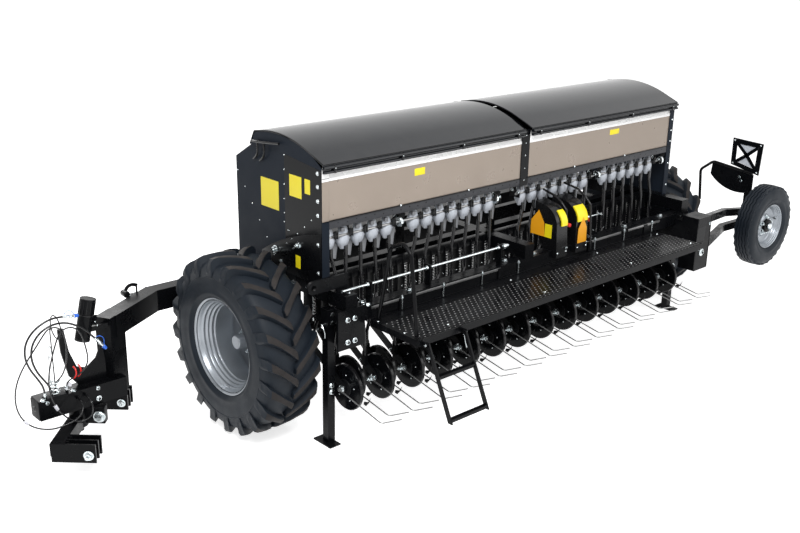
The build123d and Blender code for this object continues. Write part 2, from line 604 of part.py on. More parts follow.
def guard(x, rail):
    """Closed drive cover with a rounded rear shoulder, sitting over the rear beam, and its side rail."""
    cover = curved_plate(
        [GUARD_SKIRT, GUARD_SHOULDER, (GUARD_FRONT_Y, GUARD_TOP_Z), (GUARD_FRONT_Y, REAR_BEAM_TOP + 160),
         (REAR_BEAM_Y + BEAM / 2, REAR_BEAM_TOP), (GUARD_SKIRT_Y, REAR_BEAM_TOP), (GUARD_SKIRT_Y, GUARD_SKIRT[1])],
        x[0], x[1] - x[0])
    hoop = round_tube([(x[1] + RAIL_TUBE_R - 2, y, z) for y, z in rail], [20.0, 60.0, 60.0], RAIL_TUBE_R)
    straps = [block((x[1] - 2, x[1] + RAIL_TUBE_R), span(rail[1][0] + 14, 50.0), (z, z + 24)) for z in (1020.0, 1240.0)]
    return cover + hoop + straps


nodes["drive_guard_left"] = guard(GUARDS[0], GUARD_RAILS[0])
nodes["drive_guard_right"] = guard(GUARDS[1], GUARD_RAILS[1])

# ---------------------------------------------------------------- rear shafts, eyes and stands
PRESSURE_SHAFT = (-200.0, 1132.0, 9.0)     # Y, Z, radius
nodes["pressure_shaft"] = rod((-1990.0, *PRESSURE_SHAFT[:2]), (-420.0, *PRESSURE_SHAFT[:2]), PRESSURE_SHAFT[2])
posts = []
for x in (-1750.0, -1200.0, -460.0):
    posts.append(block(span(x, 14.0), (-225.0, -175.0), (REAR_BEAM_TOP, 1155.0))
                 - rod((x - 20, *PRESSURE_SHAFT[:2]), (x + 20, *PRESSURE_SHAFT[:2]), PRESSURE_SHAFT[2] + 0.1))
nodes["shaft_posts"] = solids(*posts)
EYE_Y = -150.0
EYE_HOLE_R = 20.0


def lifting_eye():
    """Round-nosed plate across the end of the rear beam, with a shackle hole."""
    nose_x, foot_x, nose_r, nose_z = -2190.0, (-1992.0, -1900.0), 45.0, 1190.0
    plate = block((nose_x, foot_x[1]), span(EYE_Y, 20.0), (nose_z - nose_r, nose_z + nose_r))
    nose = Pos(nose_x, EYE_Y, nose_z) * Rot(90, 0, 0) * Cylinder(nose_r, 20.0)
    foot = block(foot_x, span(EYE_Y, 20.0), (side_z[1], nose_z))
    hole = Pos(nose_x, EYE_Y, nose_z) * Rot(90, 0, 0) * Cylinder(EYE_HOLE_R, 40.0)
    return plate + nose + foot - hole


nodes["lifting_eye"] = lifting_eye()

STAND_PLAY = 0.3             # running gap on each face of the stand's tube
sleeve_out = STAND_TUBE + 2 * (STAND_PLAY + 6.0)
sleeve = block(span(STAND_X, sleeve_out), span(STAND_Y, sleeve_out), (870.0, REAR_BEAM_TOP)) - block(
    span(STAND_X, STAND_TUBE + 2 * STAND_PLAY), span(STAND_Y, STAND_TUBE + 2 * STAND_PLAY),
    (860.0, REAR_BEAM_TOP + 10))
sleeve += block(span(STAND_X, sleeve_out), (REAR_BEAM_Y + BEAM / 2, STAND_Y - sleeve_out / 2), rear_z)
nodes["stand_sleeves"] = solids(sleeve, mirror_x(sleeve))
leg = tube(span(STAND_X, STAND_TUBE), span(STAND_Y, STAND_TUBE), (STAND_FOOT[2], STAND_TOP_Z), 5.0, "Z")
leg += block((STAND_X - STAND_TUBE / 2, STAND_X - STAND_TUBE / 2 + STAND_FOOT[0]),
             span(STAND_Y, STAND_FOOT[1]), (0.0, STAND_FOOT[2]))
nodes["stand_right"] = leg
nodes["stand_left"] = mirror_x(leg)

# ---------------------------------------------------------------- wheels
def faceted(profile, sides, axis):
    """A closed profile of (along, flat radius) points carried round the axis in flat facets."""
    corner = 1 / cos(pi / sides)

    def point(along, radius, step):
        turn = 2 * pi * step / sides
        u, v = radius * corner * cos(turn), radius * corner * sin(turn)
        return {"X": (along, u, v), "Y": (u, along, v)}[axis]

    faces = []
    for near, far in zip(profile, profile[1:] + profile[:1]):
        for step in range(sides):
            ring = [point(*near, step), point(*far, step), point(*far, step + 1), point(*near, step + 1)]
            faces.append(Face(Polyline(*ring, close=True).wire()))
    return Solid(Shell(faces))


def tyre_ring(tread_r, width, rim_width, rim_r, flange_r, shoulder, sides, axis):
    """Tyre carcass of flat facets seated between the rim's flanges."""
    w = width / 2
    bead = rim_width / 2 - FLANGE - 0.3
    waist = flange_r + (tread_r - flange_r) * 0.42
    wall = tread_r - shoulder * 2.0
    half = [(bead, rim_r), (bead, flange_r + 1), (bead + 12, flange_r + 6), (w, waist), (w, wall - shoulder),
            (w - 3, wall), (w - shoulder * 0.7, tread_r - shoulder * 0.8), (w * 0.42, tread_r)]
    return faceted(half + [(-a, r) for a, r in half[::-1]], sides, axis)


def rim_ring(width, rim_r, flange_r, dish_r, hub_r, bore_r, axis):
    """Well-base rim with a dished disc and a hub."""
    w = width / 2
    well = rim_r * 0.88
    inner = well - 10
    return turned([
        (-w, rim_r - 8), (-w, flange_r), (-w + FLANGE, flange_r), (-w + FLANGE, rim_r - 0.3),
        (w - FLANGE, rim_r - 0.3), (w - FLANGE, flange_r), (w, flange_r), (w, rim_r - 8),
        (w * 0.7, rim_r - 10), (w * 0.6, inner), (HUB_HALF * 0.2, inner), (HUB_HALF * 0.2, dish_r),
        (HUB_HALF, hub_r), (HUB_HALF, bore_r), (-HUB_HALF, bore_r), (-HUB_HALF, hub_r), (0.0, dish_r),
        (0.0, inner), (-w * 0.6, inner), (-w * 0.7, rim_r - 10)], axis)


FLANGE = 8.0
HUB_HALF = 60.0
LUGS = 20                    # on each side of the tread
LUG = (30.0, 42.0, 75.0)     # width, height above the carcass, depth of the block it is cut from
LUG_REACH = (6.0, WHEEL_W / 2 - 6, radians(16.0))    # X from, X to, lead about the axle at its outer end


def lug(turn, flip):
    """One long lug, a bar from the middle of the tread out to the shoulder, leading forward."""
    x0, x1, lead = LUG_REACH
    rise = lead * WHEEL_R
    slope = atan2(rise, x1 - x0)
    top = sqrt(WHEEL_R ** 2 - (rise / 2 + LUG[0] / 2 * cos(slope)) ** 2)
    foot = WHEEL_R - LUG[2]
    bar = Pos((x0 + x1) / 2, 0, (top + foot) / 2) * Rot(0, 0, degrees(slope)) * Box(
        hypot(rise, x1 - x0), LUG[0], top - foot)
    bar = Rot(-turn - degrees(lead / 2), 0, 0) * bar
    return mirror_x(bar) if flip else bar


lugs = [lug(360.0 / LUGS * (i + (0.5 if flip else 0.0)), flip) for i in range(LUGS) for flip in (False, True)]
big_tyre = tyre_ring(WHEEL_R - LUG[1], WHEEL_W, RIM_W, RIM_R, RIM_FLANGE_R, 28.0, LUGS, "X") + lugs
big_rim = rim_ring(RIM_W, RIM_R, RIM_FLANGE_R, 160.0, 95.0, AXLE_R + RUN_CLEAR, "X")
for side, sign in (("left", -1), ("right", 1)):
    place = Pos(sign * WHEEL_X, WHEEL_Y, WHEEL_R)
    nodes["tyre_" + side] = place * big_tyre
    nodes["rim_" + side] = place * big_rim

# ---------------------------------------------------------------- transport kit
road_tyre = tyre_ring(ROAD_R, ROAD_W, ROAD_RIM_W, ROAD_RIM_R, ROAD_FLANGE_R, 14.0, 24, "Y")
road_rim = rim_ring(ROAD_RIM_W, ROAD_RIM_R, ROAD_FLANGE_R, 110.0, 62.0, ROAD_AXLE_R + RUN_CLEAR, "Y")
FRAME_MIDDLE_Y = (POST_REAR_Y + 1490.0) / 2     # the front post mirrors the rear one about this
ROAD_FRONT_Y = 2 * FRAME_MIDDLE_Y - ROAD_REAR_Y


def mirror_front(shape):
    return mirror(shape, about=Plane(origin=(0, FRAME_MIDDLE_Y, 0), z_dir=(0, 1, 0)))


post_x = (POST[0], POST[1])
post_y = (POST_REAR_Y, POST_REAR_Y + POST[2])
post_z = (POST[3], POST[4])
POST_WALL = 12.0
post = block(post_x, post_y, post_z) - block(
    (POST[0] + POST_WALL, POST[1] + 1), (post_y[0] + POST_WALL, post_y[1] - POST_WALL),
    (POST[3] - 1, POST[4] - POST_WALL))
post -= block((1885.0, 1925.0), (post_y[0] - 1, post_y[0] + POST_WALL + 1), (790.0, 900.0))
pivot_pin = rod((ROAD_PIVOT[0], post_y[0] - 14, ROAD_PIVOT[1]), (ROAD_PIVOT[0], post_y[1] + 14, ROAD_PIVOT[1]), 22.0)
post += pivot_pin
beam = tube(span(ROAD_BEAM_X, ROAD_BEAM[0]), (post_y[1], 2 * FRAME_MIDDLE_Y - post_y[1]), span(ROAD_BEAM_Z, ROAD_BEAM[1]), 10.0, "Y")
beam -= block((1700.0, 2050.0), span(REAR_BEAM_Y, BEAM), rear_z)
nodes["transport_beam"] = beam + post + mirror_front(post)


CARRIER_Z = (ROAD_HUB[1] - 70.0, ROAD_HUB[1] + 180.0)


def road_arm():
    """Raised A-frame arm from the rear post to a carrier plate with the stub axle."""
    root_y = (post_y[0] + POST_WALL + 6, post_y[1] - POST_WALL - 6)
    root = block((ROAD_PIVOT[0] - 45, 2030.0), root_y, (640.0, 985.0))
    carrier_y = ROAD_REAR_Y + ROAD_W / 2 + 65.0
    body = root
    knee_x = ROAD_HUB[0] - ROAD_R - 80.0
    for z_root, z_knee, z_tip in ((950.0, 805.0, 745.0), (680.0, 650.0, 640.0)):
        stops = [(2010.0, sum(root_y) / 2, z_root), (knee_x, carrier_y, z_knee), (ROAD_HUB[0] - 60, carrier_y, z_tip)]
        for a, b in zip(stops, stops[1:]):
            along = Vector(*b) - Vector(*a)
            body += Plane(origin=a, x_dir=(0, 0, 1), z_dir=along) * Box(
                70.0, 56.0, along.length + 10, align=(Align.CENTER, Align.CENTER, Align.MIN))
    body += block((ROAD_HUB[0] - 110, ROAD_HUB[0] + 60), span(carrier_y, 60.0), CARRIER_Z)
    body += Pos(ROAD_HUB[0], 0, ROAD_HUB[1]) * rod(
        (0, carrier_y, 0), (0, ROAD_REAR_Y + HUB_HALF + 8, 0), ROAD_AXLE_R + 15)
    body += Pos(ROAD_HUB[0], 0, ROAD_HUB[1]) * rod((0, carrier_y, 0), (0, ROAD_REAR_Y - HUB_HALF, 0), ROAD_AXLE_R)
    body -= rod((ROAD_PIVOT[0], post_y[0], ROAD_PIVOT[1]), (ROAD_PIVOT[0], post_y[1], ROAD_PIVOT[1]), 22.1)
    return body


for end, y, flip in (("rear", ROAD_REAR_Y, False), ("front", ROAD_FRONT_Y, True)):
    hub = Pos(ROAD_HUB[0], y, ROAD_HUB[1])
    nodes["road_tyre_" + end] = hub * road_tyre
    nodes["road_rim_" + end] = hub * road_rim
    nodes["road_arm_" + end] = mirror_front(road_arm()) if flip else road_arm()

# sign-board holder above the rear arm's carrier
BOARD_X = 3250.0
BOARD_CORNERS = [(93.0, 1460.0), (-235.0, 1445.0), (-220.0, 1128.0), (91.0, 1193.0)]    # Y, Z
board = side_plate(BOARD_CORNERS, BOARD_X, 6.0)
board_middle = (sum(y for y, z in BOARD_CORNERS) / 4, sum(z for y, z in BOARD_CORNERS) / 4)


def toward(a, b, share):
    return (a[0] + (b[0] - a[0]) * share, a[1] + (b[1] - a[1]) * share)


for a, b in zip(BOARD_CORNERS, BOARD_CORNERS[1:] + BOARD_CORNERS[:1]):
    edge_middle = toward(a, b, 0.5)
    window = [toward(toward(a, edge_middle, 0.16), board_middle, 0.16),
              toward(toward(b, edge_middle, 0.16), board_middle, 0.16), toward(board_middle, edge_middle, 0.16)]
    board -= side_plate(window, BOARD_X - 1, 8.0)
arch = round_tube([(BOARD_X - 10, y, z) for y, z in ((390.0, 767.0), (417.0, 1078.0), (280.0, 1186.0), (-162.0, 1137.0))],
                  [60.0, 70.0], 14.0)
bracket = curved_plate([(-175.0, 1130.0), [(-175.0, 953.0), (20.0, 925.0), (298.0, 1059.0)], (285.0, 1180.0)],
                       BOARD_X - 14, 8.0)
foot = block((BOARD_X - 20, BOARD_X + 20), (-150.0, -100.0), (CARRIER_Z[1], 1000.0))
board += arch + bracket + foot
nodes["sign_board"] = board

# ---------------------------------------------------------------- drawbar and hitch
angled = Vector(DRAWBAR_END[0] - DRAWBAR_BEND_X, DRAWBAR_END[1] - FRONT_BEAM_Y)
swing = atan2(-angled.Y, -angled.X)
straight = block((DRAWBAR_BEND_X - 20, DRAWBAR_FROM_X), front_y, front_z)
leaning = Pos(DRAWBAR_BEND_X, FRONT_BEAM_Y, FRONT_BEAM_Z) * Rot(0, 0, degrees(swing)) * Pos(
    -angled.length / 2, 0, 0) * Box(angled.length + 60, FRONT_BEAM[0], FRONT_BEAM[1])
neck = Pos(DRAWBAR_END[0] - 10, DRAWBAR_END[1], 0) * Rot(0, 0, degrees(swing)) * block(
    span(0.0, NECK_W), span(0.0, FRONT_BEAM[0]), (KNUCKLE_Z[0], FRONT_BEAM_Z + FRONT_BEAM[1] / 2))
knuckle = block((KNUCKLE_END_X, DRAWBAR_END[0] + 20), span(HEAD[1], 130.0), KNUCKLE_Z)
horn_face = make_face(Polyline(
    (-3120.0, 0, 440.0), (-3150.0, 0, 700.0), (-3200.0, 0, 600.0), (-3270.0, 0, 548.0), (-3340.0, 0, 575.0),
    (-3385.0, 0, 700.0), (-3410.0, 0, 870.0), (-3450.0, 0, 870.0), (-3440.0, 0, 700.0), (-3400.0, 0, 520.0),
    (-3330.0, 0, 430.0), close=True))
horn = Pos(0, DRAWBAR_END[1] - 40, 0) * extrude(horn_face, amount=16.0, dir=(0, 1, 0))
yaw_pin = rod((HEAD[0], HEAD[1], 120.0), (HEAD[0], HEAD[1], KNUCKLE_Z[0] + 10), YAW_PIN_R)
KNUCKLE_Y = span(HEAD[1], 130.0)
GLAND_R = 11.0
GLAND_H = 20.0
TOP_GLANDS = [(-3605.0, 900.0), (-3565.0, 900.0), (-3530.0, 912.0), (-3450.0, 912.0)]    # X, Y on the knuckle
SIDE_GLANDS = [(-3395.0, 395.0), (-3340.0, 400.0)]                                       # X, Z on its side
top_glands = [rod((x, y, KNUCKLE_Z[1] - 5), (x, y, KNUCKLE_Z[1] + GLAND_H), GLAND_R) for x, y in TOP_GLANDS]
side_glands = [rod((x, KNUCKLE_Y[0] + 5, z), (x, KNUCKLE_Y[0] - GLAND_H, z), GLAND_R) for x, z in SIDE_GLANDS]
CANISTER = ((-3312.0, 915.0, 778.0), (-3245.0, 915.0, 1061.0), 50.0)     # foot, top, radius
canister = rod(*CANISTER) + rod((-3259.0, 915.0, 1001.0), CANISTER[1], CANISTER[2] + 3)
canister += block((-3290.0, -3110.0), (930.0, 965.0), (815.0, 850.0))
nodes["drawbar"] = straight + leaning + neck + knuckle + horn + yaw_pin + top_glands + side_glands + canister

head_place = Pos(HEAD[0], HEAD[1], 0) * Rot(0, 0, HEAD_ANGLE)
head = block(span(0.0, CROSSBAR), span(0.0, CROSSBAR_LEN + LINK_PLATE[2]), span(CROSSBAR_Z, CROSSBAR))
head += rod((0, 0, CROSSBAR_Z - CROSSBAR / 2), (0, 0, KNUCKLE_Z[0] - 5), 62.0)
head -= rod((0, 0, CROSSBAR_Z - CROSSBAR), (0, 0, KNUCKLE_Z[0]), YAW_PIN_R + RUN_CLEAR)
nodes["hitch_head"] = head_place * head

length, height, thick = LINK_PLATE
plates = []
for sign in (-1, 1):
    for step in (0.0, LINK_PITCH, 2 * LINK_PITCH):
        y = sign * (CROSSBAR_LEN / 2 - step) - thick / 2
        plates.append(
            block((-40.0, length - 40.0), (y, y + thick), span(CROSSBAR_Z - 20, height))
            - block(span(0.0, CROSSBAR), span(0.0, 2 * CROSSBAR_LEN), span(CROSSBAR_Z, CROSSBAR))
            - rod((LINK_REACH, -CROSSBAR_LEN, LINK_PIN_Z), (LINK_REACH, CROSSBAR_LEN, LINK_PIN_Z), LINK_PIN_R))
nodes["link_plates"] = solids(*[head_place * plate for plate in plates])

# ---------------------------------------------------------------- hoses at the hitch
# each route runs gland to end in X, Y, Z; two end in couplings and two loop back to the knuckle
gland_top = KNUCKLE_Z[1] + GLAND_H
gland_side = KNUCKLE_Y[0] - GLAND_H
HOSES = {                    # name: (radius, route)
    "hose_a": (7.0, [
        (-3605, 900, gland_top), (-3605, 900, 520), (-3645, 880, 600), (-3700, 866, 695), (-3728, 860, 790),
        (-3712, 860, 885), (-3650, 860, 958), (-3560, 860, 1000), (-3490, 860, 1006), (-3430, 860, 996)]),
    "hose_b": (7.0, [
        (-3565, 900, gland_top), (-3565, 900, 520), (-3615, 862, 595), (-3668, 838, 680), (-3696, 836, 775),
        (-3683, 836, 868), (-3625, 836, 940), (-3540, 836, 975), (-3450, 836, 968), (-3370, 836, 925),
        (-3300, 836, 860), (-3245, 836, 790)]),
    "hose_c": (5.0, [
        (-3395, gland_side, 395), (-3395, 818, 395), (-3405, 772, 370), (-3435, 755, 330), (-3482, 757, 300),
        (-3548, 770, 282), (-3620, 780, 275), (-3695, 785, 298), (-3765, 785, 345), (-3815, 785, 412),
        (-3841, 785, 490), (-3843, 785, 575), (-3825, 785, 655), (-3785, 785, 735), (-3730, 785, 808),
        (-3672, 785, 876), (-3625, 785, 935), (-3585, 785, 975), (-3530, 785, 972), (-3498, 785, 935),
        (-3482, 785, 885), (-3477, 785, 825), (-3483, 785, 740), (-3496, 797, 668), (-3512, 820, 612),
        (-3524, 855, 575), (-3529, 890, 545), (-3530, 912, 503), (-3530, 912, gland_top)]),
    "hose_d": (5.0, [
        (-3340, gland_side, 400), (-3340, 817, 400), (-3338, 780, 365), (-3342, 772, 318), (-3362, 778, 282),
        (-3405, 790, 262), (-3455, 800, 270), (-3505, 807, 305), (-3555, 807, 372), (-3592, 807, 452),
        (-3612, 807, 545), (-3604, 807, 650), (-3576, 807, 750), (-3540, 807, 848), (-3515, 807, 902),
        (-3480, 807, 934), (-3436, 807, 940), (-3395, 807, 921), (-3366, 807, 882), (-3348, 807, 820),
        (-3335, 807, 750), (-3329, 807, 684), (-3342, 817, 632),
        (-3368, 838, 588), (-3400, 866, 558), (-3430, 893, 535), (-3450, 912, 502), (-3450, 912, gland_top)]),
}
for name, (radius, route) in HOSES.items():
    radii = corner_radii(route)
    print(name, "corner radii", [round(r) for r in radii])
    nodes[name] = round_tube(route, radii, radius)

COUPLINGS = [                # hose it closes, length of the coupling, length of its cap
    ("hose_a", 58.0, 26.0),
    ("hose_b", 70.0, 30.0),
]
couplings = []
for name, body_length, cap_length in COUPLINGS:
    route = HOSES[name][1]
    end = Vector(*route[-1])
    heading = (end - Vector(*route[-2])).normalized()
    joint = end + heading * body_length
    tip = joint + heading * cap_length
    couplings.append(rod(tuple(end), tuple(joint), 11.0) + rod(tuple(joint), tuple(tip), 13.0))
nodes["hose_couplings"] = solids(*couplings)

HOLDER_X = -3520.0
HOLDER_RING = (825.0, 955.0, 78.0)    # Y, Z, radius of the ring that gathers the hoses
HOLDER_STEM = (925.0, 890.0)          # Y of the stem and Z of its bend
WIRE_R = 4.0
holder = Pos(HOLDER_X, *HOLDER_RING[:2]) * Rot(0, 90, 0) * Torus(HOLDER_RING[2], WIRE_R)
holder += rod((HOLDER_X, HOLDER_STEM[0], KNUCKLE_Z[1]), (HOLDER_X, *HOLDER_STEM), WIRE_R)
holder += rod((HOLDER_X, *HOLDER_STEM), (HOLDER_X, HOLDER_RING[0] + HOLDER_RING[2], HOLDER_RING[1]), WIRE_R)
nodes["hose_holder"] = holder

# ---------------------------------------------------------------- write
rigid = Compound(children=[shape for name, shape in nodes.items() if name not in HOSES]).bounding_box()
shift = Vector(-(rigid.min.X + rigid.max.X) / 2, -(rigid.min.Y + rigid.max.Y) / 2, -rigid.min.Z)
whole = Compound(children=list(nodes.values())).bounding_box()
print("shift", round(shift.X, 3), round(shift.Y, 3), round(shift.Z, 3))
print("size", [round(v, 1) for v in (whole.size.X, whole.size.Y, whole.size.Z)])

os.makedirs("parts", exist_ok=True)
for name, shape in nodes.items():
    placed = Pos(shift.X, shift.Y, shift.Z) * Compound(children=shape.solids())
    export_step(placed, os.path.join("parts", name + ".step"))
print(len(nodes), "nodes")
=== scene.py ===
# %% [markdown]
# # A box seed drill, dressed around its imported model
#
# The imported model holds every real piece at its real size. This lesson loads it, finishes its
# surfaces, and adds what a workshop bolts, presses or moulds on: lugs, rivets, bolts, hoses and labels.

# %% Load the frame
import math

import bmesh
import bpy
from mathutils import Matrix, Vector


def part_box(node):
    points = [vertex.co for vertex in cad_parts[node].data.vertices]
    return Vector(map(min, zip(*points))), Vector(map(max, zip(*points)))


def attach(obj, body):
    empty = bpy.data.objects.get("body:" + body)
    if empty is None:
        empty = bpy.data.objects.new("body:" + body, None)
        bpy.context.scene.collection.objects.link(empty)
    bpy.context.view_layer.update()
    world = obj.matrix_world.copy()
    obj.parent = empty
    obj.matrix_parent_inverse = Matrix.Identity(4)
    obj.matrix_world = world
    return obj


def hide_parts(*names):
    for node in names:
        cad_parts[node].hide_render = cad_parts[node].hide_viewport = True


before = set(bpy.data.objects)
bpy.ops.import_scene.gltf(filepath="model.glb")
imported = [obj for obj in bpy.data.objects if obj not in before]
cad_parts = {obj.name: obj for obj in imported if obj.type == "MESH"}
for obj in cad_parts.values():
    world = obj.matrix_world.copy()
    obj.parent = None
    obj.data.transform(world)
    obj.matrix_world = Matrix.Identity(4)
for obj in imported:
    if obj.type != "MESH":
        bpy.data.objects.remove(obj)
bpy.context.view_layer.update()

# %% [markdown]
# The machine's own datum is the middle of the hopper's rear wall at ground level. Reading it from the
# frame once lets every later size be written as a plain distance from that corner of the machine.

# %% The datum and a ruler
floor_low, floor_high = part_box("hopper_floor")
panel_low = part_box("rear_panel_left")[0]
DATUM = Vector(((floor_low.x + floor_high.x) / 2, panel_low.y, 0.0))
MM = 0.001


def at(x, y, z):
    """A point given in millimetres from the datum."""
    return DATUM + Vector((x, y, z)) * MM


def add(name, data):
    """A new object in the scene, for a mesh, curve, lamp or camera."""
    made = bpy.data.objects.new(name, data)
    bpy.context.scene.collection.objects.link(made)
    return made


print("datum", [round(v, 4) for v in DATUM])

# %% [markdown]
# ## Camera
# A long lens from behind and to the left, a little above the lids, tipped down. The camera is turned by
# three plain angles, so its matrix is built from them and not from a constraint.

# %% Camera
CAMERA_AT = (-5980.57, -5170.57, 3484.28)
YAW = math.radians(47.80)
PITCH = math.radians(18.82)
ROLL = 0.0171
FOCAL_MM = 46.15

heading = Vector((math.cos(YAW) * math.cos(PITCH), math.sin(YAW) * math.cos(PITCH), -math.sin(PITCH)))
level_right = Vector((math.sin(YAW), -math.cos(YAW), 0.0))
level_up = level_right.cross(heading)
camera_right = level_right * math.cos(ROLL) + level_up * math.sin(ROLL)
camera_up = camera_right.cross(heading)
camera = add("camera", bpy.data.cameras.new("camera"))
camera.data.lens = FOCAL_MM
camera.data.sensor_width = 36.0
turn = Matrix((camera_right, camera_up, -heading)).transposed()
camera.matrix_world = Matrix.Translation(at(*CAMERA_AT)) @ turn.to_4x4()
bpy.context.scene.camera = camera
print("camera", [round(v, 3) for v in camera.location])

# %% [markdown]
# ## Finishes
# Paint, sheet steel, rubber and moulded plastic all vary a little over a surface. Four small node groups
# hold those effects once: a slow drift of tone, a smudged roughness, a fine surface grain, and dust that
# settles on what faces up. Each material then sets its own numbers on them.


# %% Group tools
def new_group(name, inputs, **outputs):
    """A node group, with its inputs' sockets as seen inside and the sockets that its results go to."""
    group = bpy.data.node_groups.new(name, "ShaderNodeTree")
    for label, value in inputs.items():
        kind = "Float" if isinstance(value, float) else {3: "Vector", 4: "Color"}[len(value)]
        group.interface.new_socket(label, in_out="INPUT",
                                   socket_type="NodeSocket" + kind).default_value = value
    for label, kind in outputs.items():
        group.interface.new_socket(label, in_out="OUTPUT", socket_type="NodeSocket" + kind)
    return group, group.nodes.new("NodeGroupInput").outputs, group.nodes.new("NodeGroupOutput").inputs


def noise(tree, scale, detail, vector=None):
    node = tree.nodes.new("ShaderNodeTexNoise")
    node.inputs["Detail"].default_value = detail
    tree.links.new(scale, node.inputs["Scale"])
    source = vector or tree.nodes.new("ShaderNodeTexCoord").outputs["Object"]
    tree.links.new(source, node.inputs["Vector"])
    return node.outputs["Fac"]


def stretched(tree, value, low, high):
    """A node that takes low..high of a value to 0..1, or to whatever feeds its other sockets."""
    node = tree.nodes.new("ShaderNodeMapRange")
    node.inputs["From Min"].default_value = low
    node.inputs["From Max"].default_value = high
    tree.links.new(value, node.inputs["Value"])
    return node


def combined(tree, operation, a, b):
    node = tree.nodes.new("ShaderNodeMath")
    node.operation = operation
    tree.links.new(a, node.inputs[0])
    tree.links.new(b, node.inputs[1])
    return node.outputs[0]


def blended(tree, factor, a, b):
    node = tree.nodes.new("ShaderNodeMix")
    node.data_type = "RGBA"
    for label, source in (("Factor", factor), ("A", a), ("B", b)):
        tree.links.new(source, node.inputs[label])
    return node.outputs["Result"]


# %% Tone drift
tone_drift, given, result = new_group(
    "tone drift", {"Light": (0.5, 0.5, 0.5, 1), "Dark": (0.4, 0.4, 0.4, 1), "Scale": 4.0}, Color="Color")
cloud = noise(tone_drift, given["Scale"], 5.0)
tone_drift.links.new(blended(tone_drift, cloud, given["Light"], given["Dark"]), result["Color"])

# %% Smudge
smudge, given, result = new_group("smudge", {"Smooth": 0.2, "Rough": 0.4, "Scale": 6.0}, Roughness="Float")
spread = stretched(smudge, noise(smudge, given["Scale"], 6.0), 0.3, 0.7)
smudge.links.new(given["Smooth"], spread.inputs["To Min"])
smudge.links.new(given["Rough"], spread.inputs["To Max"])
smudge.links.new(spread.outputs["Result"], result["Roughness"])

# %% Surface grain
grain, given, result = new_group("grain", {"Scale": 300.0, "Stretch": (1.0, 1.0, 1.0)}, Height="Float")
stretch = grain.nodes.new("ShaderNodeVectorMath")
stretch.operation = "MULTIPLY"
grain.links.new(grain.nodes.new("ShaderNodeTexCoord").outputs["Object"], stretch.inputs[0])
grain.links.new(given["Stretch"], stretch.inputs[1])
grain.links.new(noise(grain, given["Scale"], 2.0, stretch.outputs[0]), result["Height"])

# %% Settled dust
dust, given, result = new_group(
    "dust", {"Clean": (0, 0, 0, 1), "Dust": (0.3, 0.28, 0.25, 1), "Amount": 0.2, "Scale": 12.0},
    Color="Color", Mask="Float")
split = dust.nodes.new("ShaderNodeSeparateXYZ")
dust.links.new(dust.nodes.new("ShaderNodeNewGeometry").outputs["Normal"], split.inputs["Vector"])
upward = stretched(dust, split.outputs["Z"], 0.2, 1.0).outputs["Result"]
patchy = stretched(dust, noise(dust, given["Scale"], 8.0), 0.42, 0.75).outputs["Result"]
mask = combined(dust, "MULTIPLY", combined(dust, "MULTIPLY", upward, patchy), given["Amount"])
dust.links.new(blended(dust, mask, given["Clean"], given["Dust"]), result["Color"])
dust.links.new(mask, result["Mask"])

# %% [markdown]
# One maker turns a row of numbers into a finished material, so that all finishes of the machine can be
# read side by side. The shader itself stays in the material, and the plain numbers sit on its sockets.


# %% Material maker
SMUDGE_SCALE = 7.0


def finish(name, light, dark, rough, metal=0.0, coat=0.0, tone_scale=4.0, grain_scale=350.0,
           stretch=(1, 1, 1), bump=0.05, dust_amount=0.0, dust_color=(0.30, 0.28, 0.26), specular=0.5):
    """A paint, rubber, metal or plastic: two tones, two roughnesses, and what lies on top of them."""
    made = bpy.data.materials.new(name)
    made.use_nodes = True
    tree = made.node_tree
    shader = tree.nodes["Principled BSDF"]
    for label, value in (("Metallic", metal), ("Coat Weight", coat), ("Coat Roughness", 0.08),
                         ("Specular IOR Level", specular)):
        shader.inputs[label].default_value = value

    def group(which, **values):
        node = tree.nodes.new("ShaderNodeGroup")
        node.node_tree = which
        for label, value in values.items():
            node.inputs[label].default_value = value
        return node

    tone = group(tone_drift, Light=(*light, 1), Dark=(*dark, 1), Scale=tone_scale)
    color = tone.outputs["Color"]
    if dust_amount:
        settled = group(dust, Dust=(*dust_color, 1), Amount=dust_amount)
        tree.links.new(color, settled.inputs["Clean"])
        color = settled.outputs["Color"]
    tree.links.new(color, shader.inputs["Base Color"])
    marks = group(smudge, Smooth=rough[0], Rough=rough[1], Scale=SMUDGE_SCALE)
    tree.links.new(marks.outputs["Roughness"], shader.inputs["Roughness"])
    fine = group(grain, Scale=grain_scale, Stretch=stretch)
    relief = tree.nodes.new("ShaderNodeBump")
    relief.inputs["Strength"].default_value = bump
    relief.inputs["Distance"].default_value = 0.001
    tree.links.new(fine.outputs["Height"], relief.inputs["Height"])
    tree.links.new(relief.outputs["Normal"], shader.inputs["Normal"])
    return made


# %% The machine's finishes
lid_black = finish("lid enamel", (0.006, 0.0078, 0.011), (0.004, 0.0052, 0.0075), (0.09, 0.18), coat=0.3,
                   grain_scale=70, bump=0.08, dust_amount=0.02, specular=0.24)
gloss_black = finish("gloss black sheet", (0.0038, 0.0042, 0.0054), (0.0022, 0.0025, 0.0032), (0.12, 0.22),
                     coat=0.06, grain_scale=70, bump=0.1, dust_amount=0.01, specular=0.1)
side_black = finish("side sheet", (0.013, 0.0175, 0.026), (0.0105, 0.0145, 0.0215), (0.38, 0.5),
                    tone_scale=1.2, grain_scale=90, bump=0.1, specular=0.06)
satin_black = finish("satin black frame", (0.0034, 0.0037, 0.0045), (0.002, 0.0022, 0.0028), (0.2, 0.38),
                     coat=0.03, grain_scale=240, bump=0.12, dust_amount=0.01, specular=0.09)
cast_black = finish("black casting", (0.004, 0.0043, 0.0052), (0.0022, 0.0024, 0.003), (0.34, 0.54),
                    grain_scale=420, bump=0.3, dust_amount=0.01, specular=0.11)
